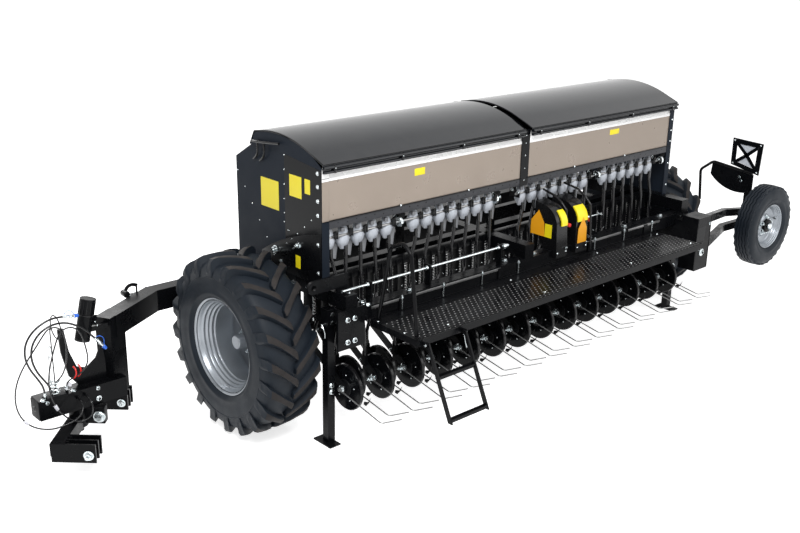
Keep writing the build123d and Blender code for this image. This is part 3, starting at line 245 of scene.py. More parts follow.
# The warm beige tone of this stainless sheet is a painted reflection of its surroundings.
stainless = finish("brushed stainless", (0.315, 0.262, 0.218), (0.27, 0.224, 0.186), (0.26, 0.4),
                   metal=0.35, tone_scale=1.3, grain_scale=55, stretch=(0.4, 1, 14), bump=0.05)
bright_strip = finish("bright strip", (0.95, 0.95, 0.94), (0.88, 0.88, 0.88), (0.2, 0.35), metal=0.2,
                      grain_scale=60, stretch=(0.4, 1, 14), bump=0.04)
sill_grey = finish("sill sheet", (0.05, 0.052, 0.058), (0.034, 0.035, 0.04), (0.3, 0.45), tone_scale=3.0,
                   grain_scale=120, bump=0.08, specular=0.2)
rim_silver = finish("silver rim paint", (0.34, 0.37, 0.4), (0.28, 0.3, 0.33), (0.26, 0.4), metal=0.55,
                    coat=0.15, grain_scale=500, bump=0.05, dust_amount=0.04)
tyre_rubber = finish("tyre rubber", (0.0115, 0.017, 0.025), (0.005, 0.0072, 0.0105), (0.42, 0.62),
                     grain_scale=420, bump=0.3, dust_amount=0.05, dust_color=(0.06, 0.06, 0.065),
                     specular=0.2)
worn_rubber = finish("worn lug rubber", (0.034, 0.029, 0.027), (0.012, 0.012, 0.013), (0.58, 0.8),
                     tone_scale=18, grain_scale=300, bump=0.45, dust_amount=0.12,
                     dust_color=(0.11, 0.095, 0.085), specular=0.18)
feed_grey = finish("grey moulded plastic", (0.56, 0.59, 0.64), (0.4, 0.43, 0.48), (0.3, 0.46),
                   tone_scale=30, grain_scale=500, bump=0.1)
chute_grey = finish("grey chute", (0.2, 0.205, 0.22), (0.14, 0.145, 0.155), (0.4, 0.55), tone_scale=20,
                    grain_scale=400, bump=0.1)
zinc = finish("zinc plate", (0.74, 0.79, 0.8), (0.58, 0.63, 0.65), (0.16, 0.32), metal=1.0, tone_scale=40,
              grain_scale=400, bump=0.08)
# Also used, light against the black paint, as a painted highlight on the platform's dots and along the rear
# beam's top edge.
spring_wire = finish("spring wire", (0.42, 0.42, 0.42), (0.25, 0.25, 0.25), (0.3, 0.45), metal=1.0,
                     tone_scale=60, grain_scale=600, bump=0.08)
black_plastic = finish("black moulded plastic", (0.006, 0.0062, 0.007), (0.004, 0.004, 0.0045),
                       (0.18, 0.32), coat=0.15, grain_scale=300, bump=0.08, dust_amount=0.01, specular=0.2)
hose_black = finish("hose rubber", (0.006, 0.006, 0.007), (0.004, 0.004, 0.005), (0.14, 0.26), coat=0.3,
                    grain_scale=500, bump=0.1, specular=0.3)
label_yellow = finish("yellow patch", (0.92, 0.77, 0.01), (0.86, 0.71, 0.008), (0.32, 0.42), bump=0.02)
label_orange = finish("orange patch", (0.92, 0.42, 0.012), (0.86, 0.36, 0.01), (0.32, 0.42), bump=0.02)
cap_blue = finish("blue cap", (0.02, 0.16, 0.78), (0.02, 0.12, 0.62), (0.28, 0.4), bump=0.05)
signal_red = finish("red plastic", (0.75, 0.02, 0.015), (0.62, 0.015, 0.01), (0.3, 0.42), bump=0.05)
tag_white = finish("white tag", (0.84, 0.84, 0.88), (0.74, 0.74, 0.8), (0.4, 0.55), bump=0.05)
print("materials", len(bpy.data.materials))

# %% [markdown]
# Nodes whose solid already has the right form keep their mesh and only get a finish.

# %% Finish the solid nodes
NODE_FINISH = {side_black: ["end_plate_left", "end_plate_right"],
               stainless: ["rear_panel_left", "rear_panel_right"], zinc: ["pressure_shaft"],
               spring_wire: ["tines_rear", "tines_front", "meter_shafts"], hose_black: ["seed_tubes"],
               black_plastic: ["drive_guard_left", "drive_guard_right"],
               cast_black: ["opener_arms_rear", "opener_arms_front"], lid_black: ["lid_left", "lid_right"],
               gloss_black: ["hopper_floor", "hopper_walls", "hopper_dividers", "centre_strap", "discs_rear",
                             "discs_front"]}
finish_of = {name: made for made, names in NODE_FINISH.items() for name in names}
for name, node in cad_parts.items():
    node.data.materials.clear()
    node.data.materials.append(finish_of.get(name, satin_black))

# %% [markdown]
# ## Shape tools
# Small shapes are made in millimetres by mesh operators, each standing on Z. A `Gather` sets copies of
# them in place and joins them into one piece that rides on a body.


# %% Plain shapes
LEVEL = 1e-4                         # mm by which an edge may rise and still be level


def settle(shape, *materials):
    """Turns a bmesh into a mesh with its materials, and frees it."""
    bmesh.ops.recalc_face_normals(shape, faces=shape.faces)
    mesh = bpy.data.meshes.new("shape")
    shape.to_mesh(mesh)
    shape.free()
    for material in materials:
        mesh.materials.append(material)
    return mesh


def rise(edge):
    return abs(edge.verts[0].co.z - edge.verts[1].co.z)


def soften(shape, edges, width, segments=2, profile=0.5):
    bmesh.ops.bevel(shape, geom=edges, offset=width, segments=segments, affect="EDGES", profile=profile)


def soften_level(shape, width):
    """Softens the edges that lie level, which are those round the ends of an upright shape."""
    if width:
        soften(shape, [e for e in shape.edges if rise(e) < LEVEL], width)


def cube(size, material, bevel=0.0):
    """A block centred on the origin, with softened edges."""
    shape = bmesh.new()
    bmesh.ops.create_cube(shape, size=1.0)
    bmesh.ops.scale(shape, vec=size, verts=shape.verts)
    if bevel:
        soften(shape, shape.edges[:], bevel, profile=0.6)
    return settle(shape, material)


def cylinder(radius, height, material, sides=16, top=None, bevel=0.0):
    """A round, six-sided or tapered bar standing on its foot."""
    shape = bmesh.new()
    bmesh.ops.create_cone(shape, cap_ends=True, segments=sides, radius1=radius,
                          radius2=radius if top is None else top, depth=height)
    bmesh.ops.translate(shape, vec=(0, 0, height / 2), verts=shape.verts)
    soften_level(shape, bevel)
    return settle(shape, material)


def lathe(profile, material, steps=32):
    """A line of (height, radius) stations turned about Z."""
    shape = bmesh.new()
    stations = [shape.verts.new((radius, 0, height)) for height, radius in profile]
    for a, b in zip(stations, stations[1:]):
        shape.edges.new((a, b))
    bmesh.ops.spin(shape, geom=shape.verts[:] + shape.edges[:], cent=(0, 0, 0), axis=(0, 0, 1),
                   angle=math.tau, steps=steps, use_merge=True)
    bmesh.ops.remove_doubles(shape, verts=shape.verts, dist=0.01)
    return settle(shape, material)


def new_verts(made):
    """The corners among what a mesh operator made."""
    return [v for v in made["geom"] if isinstance(v, bmesh.types.BMVert)]


def prism(outline, depth, material, corner=0.0, bevel=0.0):
    """A flat outline in X and Y, as thick as depth, its corners rounded and its edges softened."""
    shape = bmesh.new()
    face = shape.faces.new([shape.verts.new((x, y, -depth / 2)) for x, y in outline])
    made = bmesh.ops.extrude_face_region(shape, geom=[face])
    bmesh.ops.translate(shape, vec=(0, 0, depth), verts=new_verts(made))
    if corner:
        soften(shape, [e for e in shape.edges if rise(e) > depth / 2], corner, segments=4)
    soften_level(shape, bevel)
    return settle(shape, material)


def smooth_curve(points, radius, resolution=8, sides=2):
    """A round wire along the smooth curve that these control points shape."""
    curve = bpy.data.curves.new("wire", "CURVE")
    curve.dimensions = "3D"
    spline = curve.splines.new("NURBS")
    spline.points.add(len(points) - 1)
    for point, place in zip(spline.points, points):
        point.co = (*place, 1.0)
    spline.order_u = 3
    spline.use_endpoint_u = True
    spline.resolution_u = resolution
    curve.bevel_depth = radius
    curve.bevel_resolution = sides
    curve.use_fill_caps = True
    return curve


def wire(points, radius, material, **how):
    """The same as a mesh."""
    curve = smooth_curve(points, radius, **how)
    holder = bpy.data.objects.new("wire", curve)
    mesh = bpy.data.meshes.new_from_object(holder)
    bpy.data.objects.remove(holder)
    mesh.materials.clear()
    mesh.materials.append(material)
    return mesh


def ring(count, radius, start=0.0, stops=None):
    """Flat points round a circle, count to a turn; stops says how many if not just one turn of them."""
    angles = [start + i * math.tau / count for i in range(stops or count)]
    return [(radius * math.cos(angle), radius * math.sin(angle)) for angle in angles]


def spring(radius, length, turns, thick, material):
    """A coil spring standing on Z, eight control points to a turn."""
    count = turns * 8
    points = [(x, y, length * i / count) for i, (x, y) in enumerate(ring(8, radius, stops=count + 1))]
    return wire(points, thick, material, resolution=2, sides=1)


# %% Placing and joining
def shift(x, y, z):
    return Matrix.Translation((x, y, z))


def facing(place, normal):
    """Stands a shape at place with its Z along normal."""
    return Matrix.Translation(place) @ Vector(normal).to_track_quat("Z", "Y").to_matrix().to_4x4()


def turned(degrees, axis):
    return Matrix.Rotation(math.radians(degrees), 4, axis)


ALONG_X = Matrix(((0, 0, 1, 0), (1, 0, 0, 0), (0, 1, 0, 0), (0, 0, 0, 1)))     # a shape's X, Y, Z to Y, Z, X


def side_on(x, y=0.0, z=0.0):
    """Turns an outline drawn in Y and Z, or a lathed shape, to run along the machine's X."""
    return shift(x, y, z) @ ALONG_X


TO_FRAME = Matrix.Translation(DATUM) @ Matrix.Scale(MM, 4)
SHARP = 38.0                         # degrees between faces from which an edge stays sharp


class Gather:
    """Copies of small meshes, set in place in millimetres and joined."""

    def __init__(self):
        self.joined = bmesh.new()
        self.materials = []

    def put(self, mesh, place=Matrix()):
        copy = mesh.copy()
        copy.transform(place)
        if place.is_negative:
            copy.flip_normals()
        for material in mesh.materials:
            if material not in self.materials:
                self.materials.append(material)
        slots = [self.materials.index(material) for material in mesh.materials]
        copy.polygons.foreach_set("material_index", [slots[p.material_index] for p in mesh.polygons])
        self.joined.from_mesh(copy)
        bpy.data.meshes.remove(copy)
        return self

    def on(self, mesh, spot, normal):
        """Stands a small shape on a surface at spot, facing away from it."""
        return self.put(mesh, facing(spot, normal))

    def mesh(self):
        """The joined shape, to be placed again as one."""
        made = bpy.data.meshes.new("group")
        self.joined.to_mesh(made)
        self.joined.free()
        for material in self.materials:
            made.materials.append(material)
        return made

    def piece(self, name, body, *nodes, slot=None):
        """One finished piece in the frame, riding on a body and standing for its solid nodes."""
        made = self.mesh()
        made.name = name
        made.transform(TO_FRAME)
        made.shade_smooth()
        made.set_sharp_from_angle(angle=math.radians(SHARP))
        piece = add(name, made)
        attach(piece, body)
        if nodes:
            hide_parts(*nodes)
        return piece


def group(*placed):
    gather = Gather()
    for mesh, place in placed:
        gather.put(mesh, place)
    return gather.mesh()


def bar(start, end, width, height, material, bevel=0.0):
    """A flat or square bar between two points, its height as near upright as it can be."""
    start, end = Vector(start), Vector(end)
    return group((cube((width, height, (end - start).length), material, bevel),
                  facing((start + end) / 2, end - start)))


# %% [markdown]
# ## Fasteners
# Three sizes of zinc bolt, a pan-head screw and a rivet are made once and placed many times.


# %% Bolts and rivets
def bolt(across):
    """Hexagon bolt with a chamfered head, standing on the surface with its washer."""
    made = Gather()
    made.put(cylinder(across * 0.62, across * 0.45, zinc, sides=6, bevel=across * 0.05),
             shift(0, 0, across * 0.12))
    made.put(lathe([(across * 0.57, 0), (across * 0.57, across * 0.42), (across * 0.50, across * 0.52)],
                   zinc, 12))
    return made.put(cylinder(across * 0.80, across * 0.12, zinc)).mesh()


def nut(across):
    """Lock nut on a stub of thread."""
    made = Gather().put(cylinder(across * 0.85, across * 0.13, zinc))
    made.put(cylinder(across * 0.60, across * 0.55, zinc, sides=6, bevel=across * 0.05),
             shift(0, 0, across * 0.13))
    made.put(cylinder(across * 0.40, across * 0.22, zinc, sides=12), shift(0, 0, across * 0.66))
    made.put(cylinder(across * 0.28, across * 0.50, zinc, sides=10, bevel=1.0), shift(0, 0, across * 0.7))
    return made.mesh()


BOLT_S, BOLT_M, BOLT_L = bolt(17.0), bolt(24.0), bolt(34.0)
DOME = [(0.0, 1.0), (0.35, 0.92), (0.62, 0.66), (0.75, 0.0)]     # height, radius of a round head
RIVET = lathe([(z * 4.5, r * 5.0) for z, r in DOME], zinc, 10)
SCREW = lathe([(z * 8.0, r * 9.0) for z, r in DOME], zinc, 12)
BACK, LEFT, RIGHT = (0, -1, 0), (-1, 0, 0), (1, 0, 0)
print("fasteners ready")

# %% [markdown]
# ## Wheels
# The drive tyres carry long curved lugs that run from the middle of the tread over the shoulder. One lug
# is a strip of mesh bent onto the carcass station by station, then copied round both halves of the tread.

# %% Drive tyre
WHEEL_AT = (2320.0, 490.0, 650.0)
LUGS = 20
CARCASS = [                  # distance from the middle, radius
    (0, 607), (60, 606.5), (120, 603), (160, 596), (188, 582), (204, 557), (211, 525), (213.5, 508), (216, 506),
    (216, 500), (213.5, 498), (214, 470), (212, 430), (207, 396), (209, 388), (205, 378), (196, 364), (184, 352),
    (177, 346), (177, 331),
]
LUG_STATIONS = [             # distance from the middle, crest radius, foot radius, lead in degrees, half width
    (-11, 640, 600, -1.4, 19), (-3, 646, 600, -0.7, 28), (14, 648.5, 600, 0.9, 31), (60, 648.5, 598, 4.6, 26),
    (115, 646, 594, 9.0, 26), (165, 641, 584, 12.6, 29), (196, 630, 566, 14.6, 31), (210, 606, 545, 15.6, 32),
    (216, 574, 520, 16.2, 29), (217.5, 536, 505, 16.8, 22),
]
CREST_EDGE = 4.0
FOOT_FLARE = 7                       # how much wider a lug's foot is, on each side
FACES_OUT = 0.55                     # a lug's faces that look outward more than this are worn


def on_tread(x, angle, radius):
    return Vector((x, radius * math.sin(angle), radius * math.cos(angle)))


def lug_mesh():
    """One lug at the top of the tread, bent from a flat grid and dropped to the carcass."""
    shape = bmesh.new()
    last = len(LUG_STATIONS) - 1

    def stop(v):
        """Which station a corner belongs to, and its side: -1, 0 for the middle, or 1."""
        return round((v.co.x + 0.5) * last), round(v.co.y * 2)

    bmesh.ops.create_grid(shape, x_segments=last, y_segments=2, size=0.5)
    stops = {v: stop(v) for v in shape.verts}
    crest = new_verts(bmesh.ops.extrude_face_region(shape, geom=shape.faces[:]))
    stops.update({v: stop(v) for v in crest})
    for v, (i, side) in stops.items():
        x, top, foot, lead, half = LUG_STATIONS[i]
        radius, spread = (top, half) if v in crest else (foot, half + FOOT_FLARE)
        v.co = on_tread(x, math.radians(lead) + side * spread / radius, radius)

    def on_rim(edge):
        (i, side), (j, other) = (stops[v] for v in edge.verts)
        return all(v in crest for v in edge.verts) and (side == other != 0 or i == j in (0, last))

    soften(shape, [e for e in shape.edges if on_rim(e)], CREST_EDGE)
    bmesh.ops.recalc_face_normals(shape, faces=shape.faces)
    for face in shape.faces:
        outward = Vector((0, *face.calc_center_median().yz)).normalized()
        face.material_index = int(face.normal.dot(outward) > FACES_OUT)
    return settle(shape, tyre_rubber, worn_rubber)


def turned_x(profile, material, steps):
    """Both halves of a wheel part from its outer half's profile, turned about X."""
    whole = [(-z, r) for z, r in profile[:0:-1]] + list(profile)
    return group((lathe(whole, material, steps), ALONG_X))


drive_carcass = turned_x(CARCASS, tyre_rubber, 80)
one_lug = lug_mesh()
tyre = Gather().put(drive_carcass)
for i in range(LUGS):
    step = math.tau / LUGS
    tyre.put(one_lug, Matrix.Rotation(-i * step, 4, "X"))
    tyre.put(one_lug, Matrix.Scale(-1, 4, (1, 0, 0)) @ Matrix.Rotation(-(i + 0.5) * step, 4, "X"))
drive_tyre = tyre.mesh()

RIM_OUTER = [                # height toward the open side of the wheel, radius
    (-177, 331), (-177, 345), (-184, 345), (-185, 338), (-176, 330), (-160, 321), (-150, 318), (-146, 306),
    (-140, 292), (-134, 262), (-136, 215), (-124, 190), (-102, 160), (-88, 140), (-82, 110), (-76, 96), (-76, 36),
    (-68, 36), (-68, 98), (-74, 114), (-78, 146), (-92, 166), (-114, 196), (-122, 224), (-122, 262), (-118, 290),
    (-112, 300), (-100, 301), (-94, 291), (-84, 290), (-78, 282), (-60, 280), (-8, 278), (24, 277), (38, 276),
    (56, 277), (62, 284), (66, 285), (82, 285), (90, 296), (96, 298), (106, 298), (116, 308), (122, 310),
    (134, 310), (144, 320), (150, 322), (168, 330), (176, 334), (180, 338), (186, 345), (186, 349), (177, 349), (177, 331),
    (-177, 331),
]
rim = Gather().put(lathe(RIM_OUTER, rim_silver, 72))
for x, y in ring(10, 122):
    rim.put(nut(30.0), shift(x, y, -79))
HUB = [(-72, 66), (-52, 64), (-44, 58), (58, 52), (66, 46), (68, 0)]     # closes over the axle
rim.put(lathe(HUB, rim_silver, 32))
rim.on(cylinder(5, 46, black_plastic, 10), (268, 0, 30), (-0.3, 0, 1))
drive_rim = rim.mesh()
for side, sign in (("left", -1), ("right", 1)):
    place = shift(sign * WHEEL_AT[0], *WHEEL_AT[1:])
    Gather().put(drive_tyre, place).piece("lugged_tyre_" + side, "wheel_" + side, "tyre_" + side, slot="tyre")
    Gather().put(drive_rim, place @ facing((0, 0, 0), (sign, 0, 0))).piece(
        "stepped_rim_" + side, "wheel_" + side, "rim_" + side, slot="silver_paint")

# %% Transport wheels
# Ribbed implement tyres: five rings of rubber with wavy edges, over a rounder carcass.
ROAD_AT = {"rear": (3330.0, -290.0, 630.0), "front": (3330.0, 1280.0, 630.0)}
ROAD_CARCASS = [(0, 393), (40, 392), (66, 388), (84, 378), (94, 362), (99.5, 344), (102, 322), (101, 300),
                (98, 280), (100, 274), (97, 262), (90, 246), (82, 234), (74, 228), (74, 211)]
RIBS = [(-64, 11), (-32, 10), (0, 10), (32, 10), (64, 11)]     # middle of each rib, half width
WAVES = 30
ROAD_CROWN = 405.5                   # tread radius at the middle; it falls off to each side


def wavy_rib(middle, half):
    """One tread rib as a flat strip wrapped round the wheel, its edges swinging from side to side."""
    shape = bmesh.new()
    count = WAVES * 4
    bmesh.ops.create_grid(shape, x_segments=count, y_segments=1, size=0.5)
    for v in shape.verts:
        i = round((v.co.x + 0.5) * count) % count
        wave = (0, 5.5, 0, -5.5)[i % 4]
        x = middle + (half if v.co.y > 0 else -half) + wave
        angle = i * math.tau / count
        v.co = on_tread(x, angle, ROAD_CROWN - abs(x) * 0.06)
    bmesh.ops.remove_doubles(shape, verts=shape.verts, dist=0.01)
    for v in new_verts(bmesh.ops.extrude_face_region(shape, geom=shape.faces[:])):
        v.co -= Vector((0, *v.co.yz)).normalized() * (22 if abs(middle) > 50 else 14)
    return settle(shape, tyre_rubber)


road = Gather().put(turned_x(ROAD_CARCASS, tyre_rubber, 64))
for middle, half in RIBS:
    road.put(wavy_rib(middle, half))
road_tyre = road.mesh()
ROAD_RIM = [(-74, 212), (-74, 219), (-81, 220), (-82, 214), (-76, 208), (-60, 203), (-52, 196), (-30, 190),
            (-4, 187), (0, 176), (0, 112), (22, 92), (26, 60), (28, 30), (34, 30), (34, 64), (28, 96),
            (8, 116), (8, 170), (14, 178), (22, 182), (34, 186), (38, 191), (48, 194), (52, 200), (62, 203),
            (66, 209), (76, 212), (81, 220), (74, 219), (74, 212), (-74, 212)]
rim = Gather().put(lathe(ROAD_RIM, rim_silver, 56))
rim.put(lathe([(26, 66), (58, 66), (62, 60), (62, 30), (74, 30)], satin_black, 32))
rim.put(lathe([(62, 30), (82, 30), (90, 24), (92, 0)], zinc, 24))
for x, y in ring(5, 84, 0.3):
    rim.put(nut(28.0), shift(x, y, 26))
rim.on(cylinder(5, 36, black_plastic, 10), (172, 40, 16), (-0.3, 0, 1))
road_rim = rim.mesh()
for end, outward in (("rear", -1), ("front", 1)):
    place = shift(*ROAD_AT[end])
    Gather().put(road_tyre, place @ turned(90, "Z")).piece(
        "ribbed_tyre_" + end, "road_wheel_" + end, "road_tyre_" + end, slot="tyre")
    Gather().put(road_rim, place @ facing((0, 0, 0), (0, outward, 0))).piece(
        "dished_rim_" + end, "road_wheel_" + end, "road_rim_" + end, slot="silver_paint")
print("wheels done")

# %% [markdown]
# ## Hopper
# The box is folded sheet held by rivets. Its seams, edge strips and lid fittings tell its size, so they
# are set out along the sheet's real lines.

# %% Rear wall trim
HALF = 2000.0
PANEL_Z = (1565.0, 1852.0)
PANEL_X = (31.0, 1994.0)
LEAN = Vector((0, 16, 76))           # the strip above each panel leans in by this much

trim = Gather()
for sign in (-1, 1):
    middle = sign * (PANEL_X[0] + PANEL_X[1]) / 2
    long = PANEL_X[1] - PANEL_X[0]
    strip = cube((long, 1.6, LEAN.length - 4), bright_strip, 0.5)
    trim.on(strip, (middle, 7.2, 1890), LEAN)
    trim.put(cube((long, 2.0, 22), bright_strip, 0.5), shift(middle, -2.0, 1847))
    if sign < 0:                     # the sheet runs on over the left end plate's flange to the corner
        trim.put(cube((60, 1.6, PANEL_Z[1] - PANEL_Z[0] - 15), stainless, 0.4), shift(-1969, -7.0, 1701))
        trim.put(cube((60, 1.6, 66), bright_strip, 0.4), shift(-1969, -7.0, 1887))
        trim.put(cube((60, 1.6, 24), bright_strip, 0.4), shift(-1969, -7.0, 1847))
    trim.put(cube((long, 12, 4), satin_black, 1.0), shift(middle, -5, PANEL_Z[0] - 2))
    trim.put(cube((long, 3, 52), sill_grey, 0.6), shift(middle, -1.5, 1534))
    trim.put(cube((long, 22, 3), sill_grey, 0.6), shift(middle, 8, 1507))
    hole = lathe([(0, 4.5), (0.5, 4.5), (0.6, 3.4), (0.6, 0)], satin_black, 8)
    for i in range(24):
        x = sign * (80 + i * 81.0)
        trim.on(hole, (x, -3.1, 1540 - 9 * (i % 2)), BACK)
    for x in (620, 1300):
        trim.on(SCREW, (sign * x, -8, PANEL_Z[0] - 1), BACK)
    for x, z in ((140, 1640), (140, 1780), (1900, 1600)):
        trim.on(lathe([(0, 3), (1, 2.6), (1.4, 0)], satin_black, 8), (sign * x, 0, z), BACK)
trim.piece("rear_wall_trim", "chassis")

# %% End plates
# Rivets follow the folded seam and the two slopes of the floor inside; the lower rear corner is doubled
# by an arched plate with the drive's shaft ends.
SEAM = [(408, 1949), (410, 1846), (411, 1745), (413, 1642), (415, 1541), (418, 1476)]      # Y, Z
FRONT_SLOPE = [(983, 1738), (893, 1632), (807, 1525), (719, 1419), (632, 1313)]
REAR_SLOPE = [(107, 1555), (186, 1489), (267, 1424), (332, 1372), (392, 1324), (375, 1424)]
FLANGE_BOLTS = (1890.0, 1800.0, 1702.0, 1604.0, 1400.0, 1200.0)
ARCH = [(700, 1204), (590, 1270), (475, 1327), (362, 1375), (256, 1413), (120, 1452), (3, 1478), (3, 1113),
        (700, 1113)]
PATCHES = [                  # Y from, Y to, Z from, Z to
    (478, 690, 1540, 1747), (214, 350, 1678, 1829), (118, 178, 1727, 1828), (235, 290, 1177, 1268),
]
KNOB = (512.0, 1253.0)
CRANK = (251.0, 1344.0)

for side, sign in (("left", -1), ("right", 1)):
    out = (sign, 0, 0)
    face = sign * HALF
    end = Gather()

    def off(distance):
        """X of a point so far outside the plate."""
        return face + sign * distance

    for y, z in SEAM + FRONT_SLOPE + REAR_SLOPE:
        end.on(RIVET, (face, y, z), out)
    corner = (sign, -0.35, 0)        # the folded edge beside the rear wall faces a little backwards
    end.put(prism([(-4, 1113), (66, 1113), (66, 1922), (-4, 1900)], 1.6, gloss_black), side_on(off(0.9)))
    for z in FLANGE_BOLTS:
        end.on(lathe([(0, 14), (1.5, 14), (2, 12), (2, 0)], zinc, 16), (off(2), 32, z), corner)
        end.on(SCREW, (off(3), 32, z), corner)
        if sign > 0:
            end.on(SCREW, (1976, -6, z), BACK)
    end.put(prism(ARCH, 2.0, satin_black, bevel=0.6), side_on(off(1.0)))
    end.put(prism([(408, 1113), (994, 1113), (994, 1118), (408, 1118)], 3.0, side_black), side_on(off(1.5)))
    end.put(prism([(0, 1113), (407, 1113), (407, 1958), (0, 1912)], 1.2, gloss_black), side_on(face))
    for y0, y1, z0, z1 in PATCHES:
        flat = prism([(y0, z0), (y1, z0), (y1, z1), (y0, z1)], 1.0, label_yellow, corner=4.0)
        end.put(flat, side_on(off(2.4 if z1 < 1400 else 0.9)))
    end.on(lathe([(0, 30), (14, 32), (16, 26), (30, 24), (32, 16), (46, 14), (46, 0)], zinc, 24),
           (off(2), *KNOB), out)
    end.on(cylinder(7, 70, zinc, 12, bevel=1.5), (off(2), KNOB[0] - 40, KNOB[1] - 4), (sign, -0.1, 0))
    end.on(nut(30.0), (off(2), *CRANK), out)
    end.put(wire([(off(10), CRANK[0] + 56, CRANK[1] - 36), (off(26), CRANK[0] + 20, CRANK[1] - 14),
                  (off(20), CRANK[0], CRANK[1]), (off(14), CRANK[0] - 24, CRANK[1] + 22)], 6, zinc))
    end.on(BOLT_S, (off(2), 465, 1179), out)
    end.on(RIVET, (off(2), 547, 1202), out)
    # lever bar and its two hooked fingers below the lid's end
    end.put(wire([(off(24), 752, 1990), (off(25), 620, 2000), (off(24), 432, 2022)], 9, black_plastic))
    for y in (690, 612):
        end.put(wire([(off(24), y, 1996), (off(24), y - 6, 1940), (off(20), y + 14, 1890),
                      (off(14), y + 64, 1862)], 7, black_plastic))
        end.on(cylinder(9, 24, black_plastic, 12), (face, y + 4, 1998), out)
    end.piece("end_plate_fittings_" + side, "chassis")

# %% Lid fittings
# Each lid carries clips along its rear edge, a rolled strip over each end and a bright strip below.
LID_X = (40.0, 2004.0)
CLIPS = 4
CROWN = [(-20, 1954), (95, 2002), (220, 2045), (330, 2069), (430, 2081), (540, 2083), (660, 2074),
         (756, 2056)]
for side, sign in (("left", -1), ("right", 1)):
    lid = Gather()
    clip = group((cube((22, 27, 52), black_plastic, 4.0), Matrix()),
                 (cylinder(4, 3, zinc, 10, bevel=1), facing((0, -13, 8), BACK)))
    for i in range(CLIPS):
        x = sign * (LID_X[0] + 90 + i * (LID_X[1] - LID_X[0] - 180) / (CLIPS - 1))
        lid.put(clip, shift(x, -33, 1921))
    for x in LID_X:
        edge = sign * (x + (4 if x < 100 else -4))
        lid.put(wire([(edge, y, z + 2) for y, z in CROWN], 5, gloss_black, resolution=4))
    lid.put(cube((LID_X[1] - LID_X[0], 8, 5), gloss_black, 1.5), shift(sign * sum(LID_X) / 2, -27, 1957))
    lid.put(cube((LID_X[1] - LID_X[0] - 16, 2, 12), bright_strip, 0.5),
            shift(sign * sum(LID_X) / 2, -29.5, 1903))
    lid.piece("lid_fittings_" + side, "lid_" + side)

# %% Centre strap, mounted fittings and blank patches on the rear wall
extras = Gather()
for z in (1545, 1640, 1740, 1840, 1900):
    extras.on(RIVET, (0, -6, z), BACK)
for x0, x1, z0, z1 in ((-1168, -1068, 1754, 1806), (1074, 1200, 1768, 1812)):
    extras.put(cube((x1 - x0, 1.2, z1 - z0), label_yellow, 0.4), shift((x0 + x1) / 2, -0.4, (z0 + z1) / 2))
extras.put(cube((130, 1.2, 34), label_orange, 0.4), shift(-446, 22, 1518))
extras.piece("rear_wall_patches", "chassis")

# %% [markdown]
# ## Metering units
# A rounded grey funnel hangs under each outlet, with a black clip round the feed shaft, a sloping flap
# over it and a flat chute behind it that leads to the next tube.

# %% Meters
METER_PITCH = 130.0
METER_GROUPS = [(-1906.0, 5), (-1125.0, 7), (30.0, 7), (1082.0, 6)]      # X of the first unit, units
SHAFT_AT = (20.0, 1437.0)            # Y, Z of the feed shaft
FUNNEL = [(-84, 10), (-82, 14), (-70, 19), (-52, 29), (-38, 34), (-18, 35.5), (-2, 34), (10, 31), (20, 27),
          (30, 25), (38, 24), (44, 20), (48, 18)]       # height, radius before it is stretched along the row
unit = Gather()
unit.put(lathe(FUNNEL, feed_grey, 16), Matrix.Diagonal((1.5, 1.12, 1.22, 1.0)))
for x in (26, 44):                   # the two jaws of the clip round the shaft
    unit.put(cube((9, 18, 56), black_plastic, 3.0), shift(x, -50, 22))
unit.put(cube((27, 18, 10), black_plastic, 3.0), shift(35, -50, 46))
unit.put(cube((20, 30, 20), black_plastic, 3.0), shift(35, -40, 14))
unit.put(cube((30, 20, 26), chute_grey, 3.0), shift(-24, -30, 46))
unit.put(cube((66, 3, 34), feed_grey, 1.0), shift(4, -12, 74) @ turned(-38, "X") @ turned(-16, "Y"))
unit.put(cube((46, 3, 128), chute_grey, 1.0), shift(64, 6, -96) @ turned(20, "Y") @ turned(-12, "X"))
unit.put(cube((38, 5, 12), feed_grey, 1.5), shift(52, 4, -38))
meter = unit.mesh()
meters = Gather()
for x0, count in METER_GROUPS:
    for i in range(count):
        meters.put(meter, shift(x0 - 6 + i * METER_PITCH, SHAFT_AT[0] + 29, SHAFT_AT[1] - 6))
meters.piece("metering_units", "chassis", "meters", slot="grey_plastic")

# %% Feed drive, collars and hanger bolts
drive = Gather()
bell = lathe([(0, 12), (0, 34), (8, 38), (16, 38), (18, 30), (34, 24), (44, 12)], zinc, 24)
for x in (-1300.0, -310.0, 950.0, 1870.0):
    drive.put(bell, side_on(x, *SHAFT_AT))
    drive.put(bar((x + 22, 20, 1437), (x + 40, 10, 1500), 8, 34, satin_black, 1.5))
for x in (-1276, -256, -40, 925, 1845):
    drive.on(BOLT_S, (x - 4, 70, 1462), LEFT)
    drive.on(BOLT_S, (x - 4, 8, 1452), LEFT)
collar = lathe([(0, 9), (0, 18), (14, 18), (16, 15), (16, 9)], zinc, 20)
for x in (-1758, -1208, -468):
    drive.put(collar, side_on(x - 20, -200, 1132))
drive.put(lathe([(0, 9), (0, 20), (30, 20), (34, 14), (60, 12), (60, 0)], zinc, 20),
          side_on(-430, -200, 1132))
drive.put(wire([(-1990, -200, 1132), (-1992, -222, 1134), (-1990, -262, 1140), (-1992, -285, 1150)], 6, zinc))
drive.piece("feed_drive_fittings", "chassis")
print("hopper done")

# %% [markdown]
# ## Openers
# Every opener gets its axle nuts, a scraper fin behind the disc, a pressure spring between two yoke plates
# and bolts along its arm.

# %% Rows of openers
ROWS, ROW_PITCH = 28, 143.0
RANKS = {"rear": (0, -165.0, 405.0), "front": (1, -20.0, 380.0)}     # first row, disc axle Y and Z
PIVOT = (330.0, 690.0)               # of the trailing arms, Y and Z


def row_x(i):
    return (i - (ROWS - 1) / 2) * ROW_PITCH


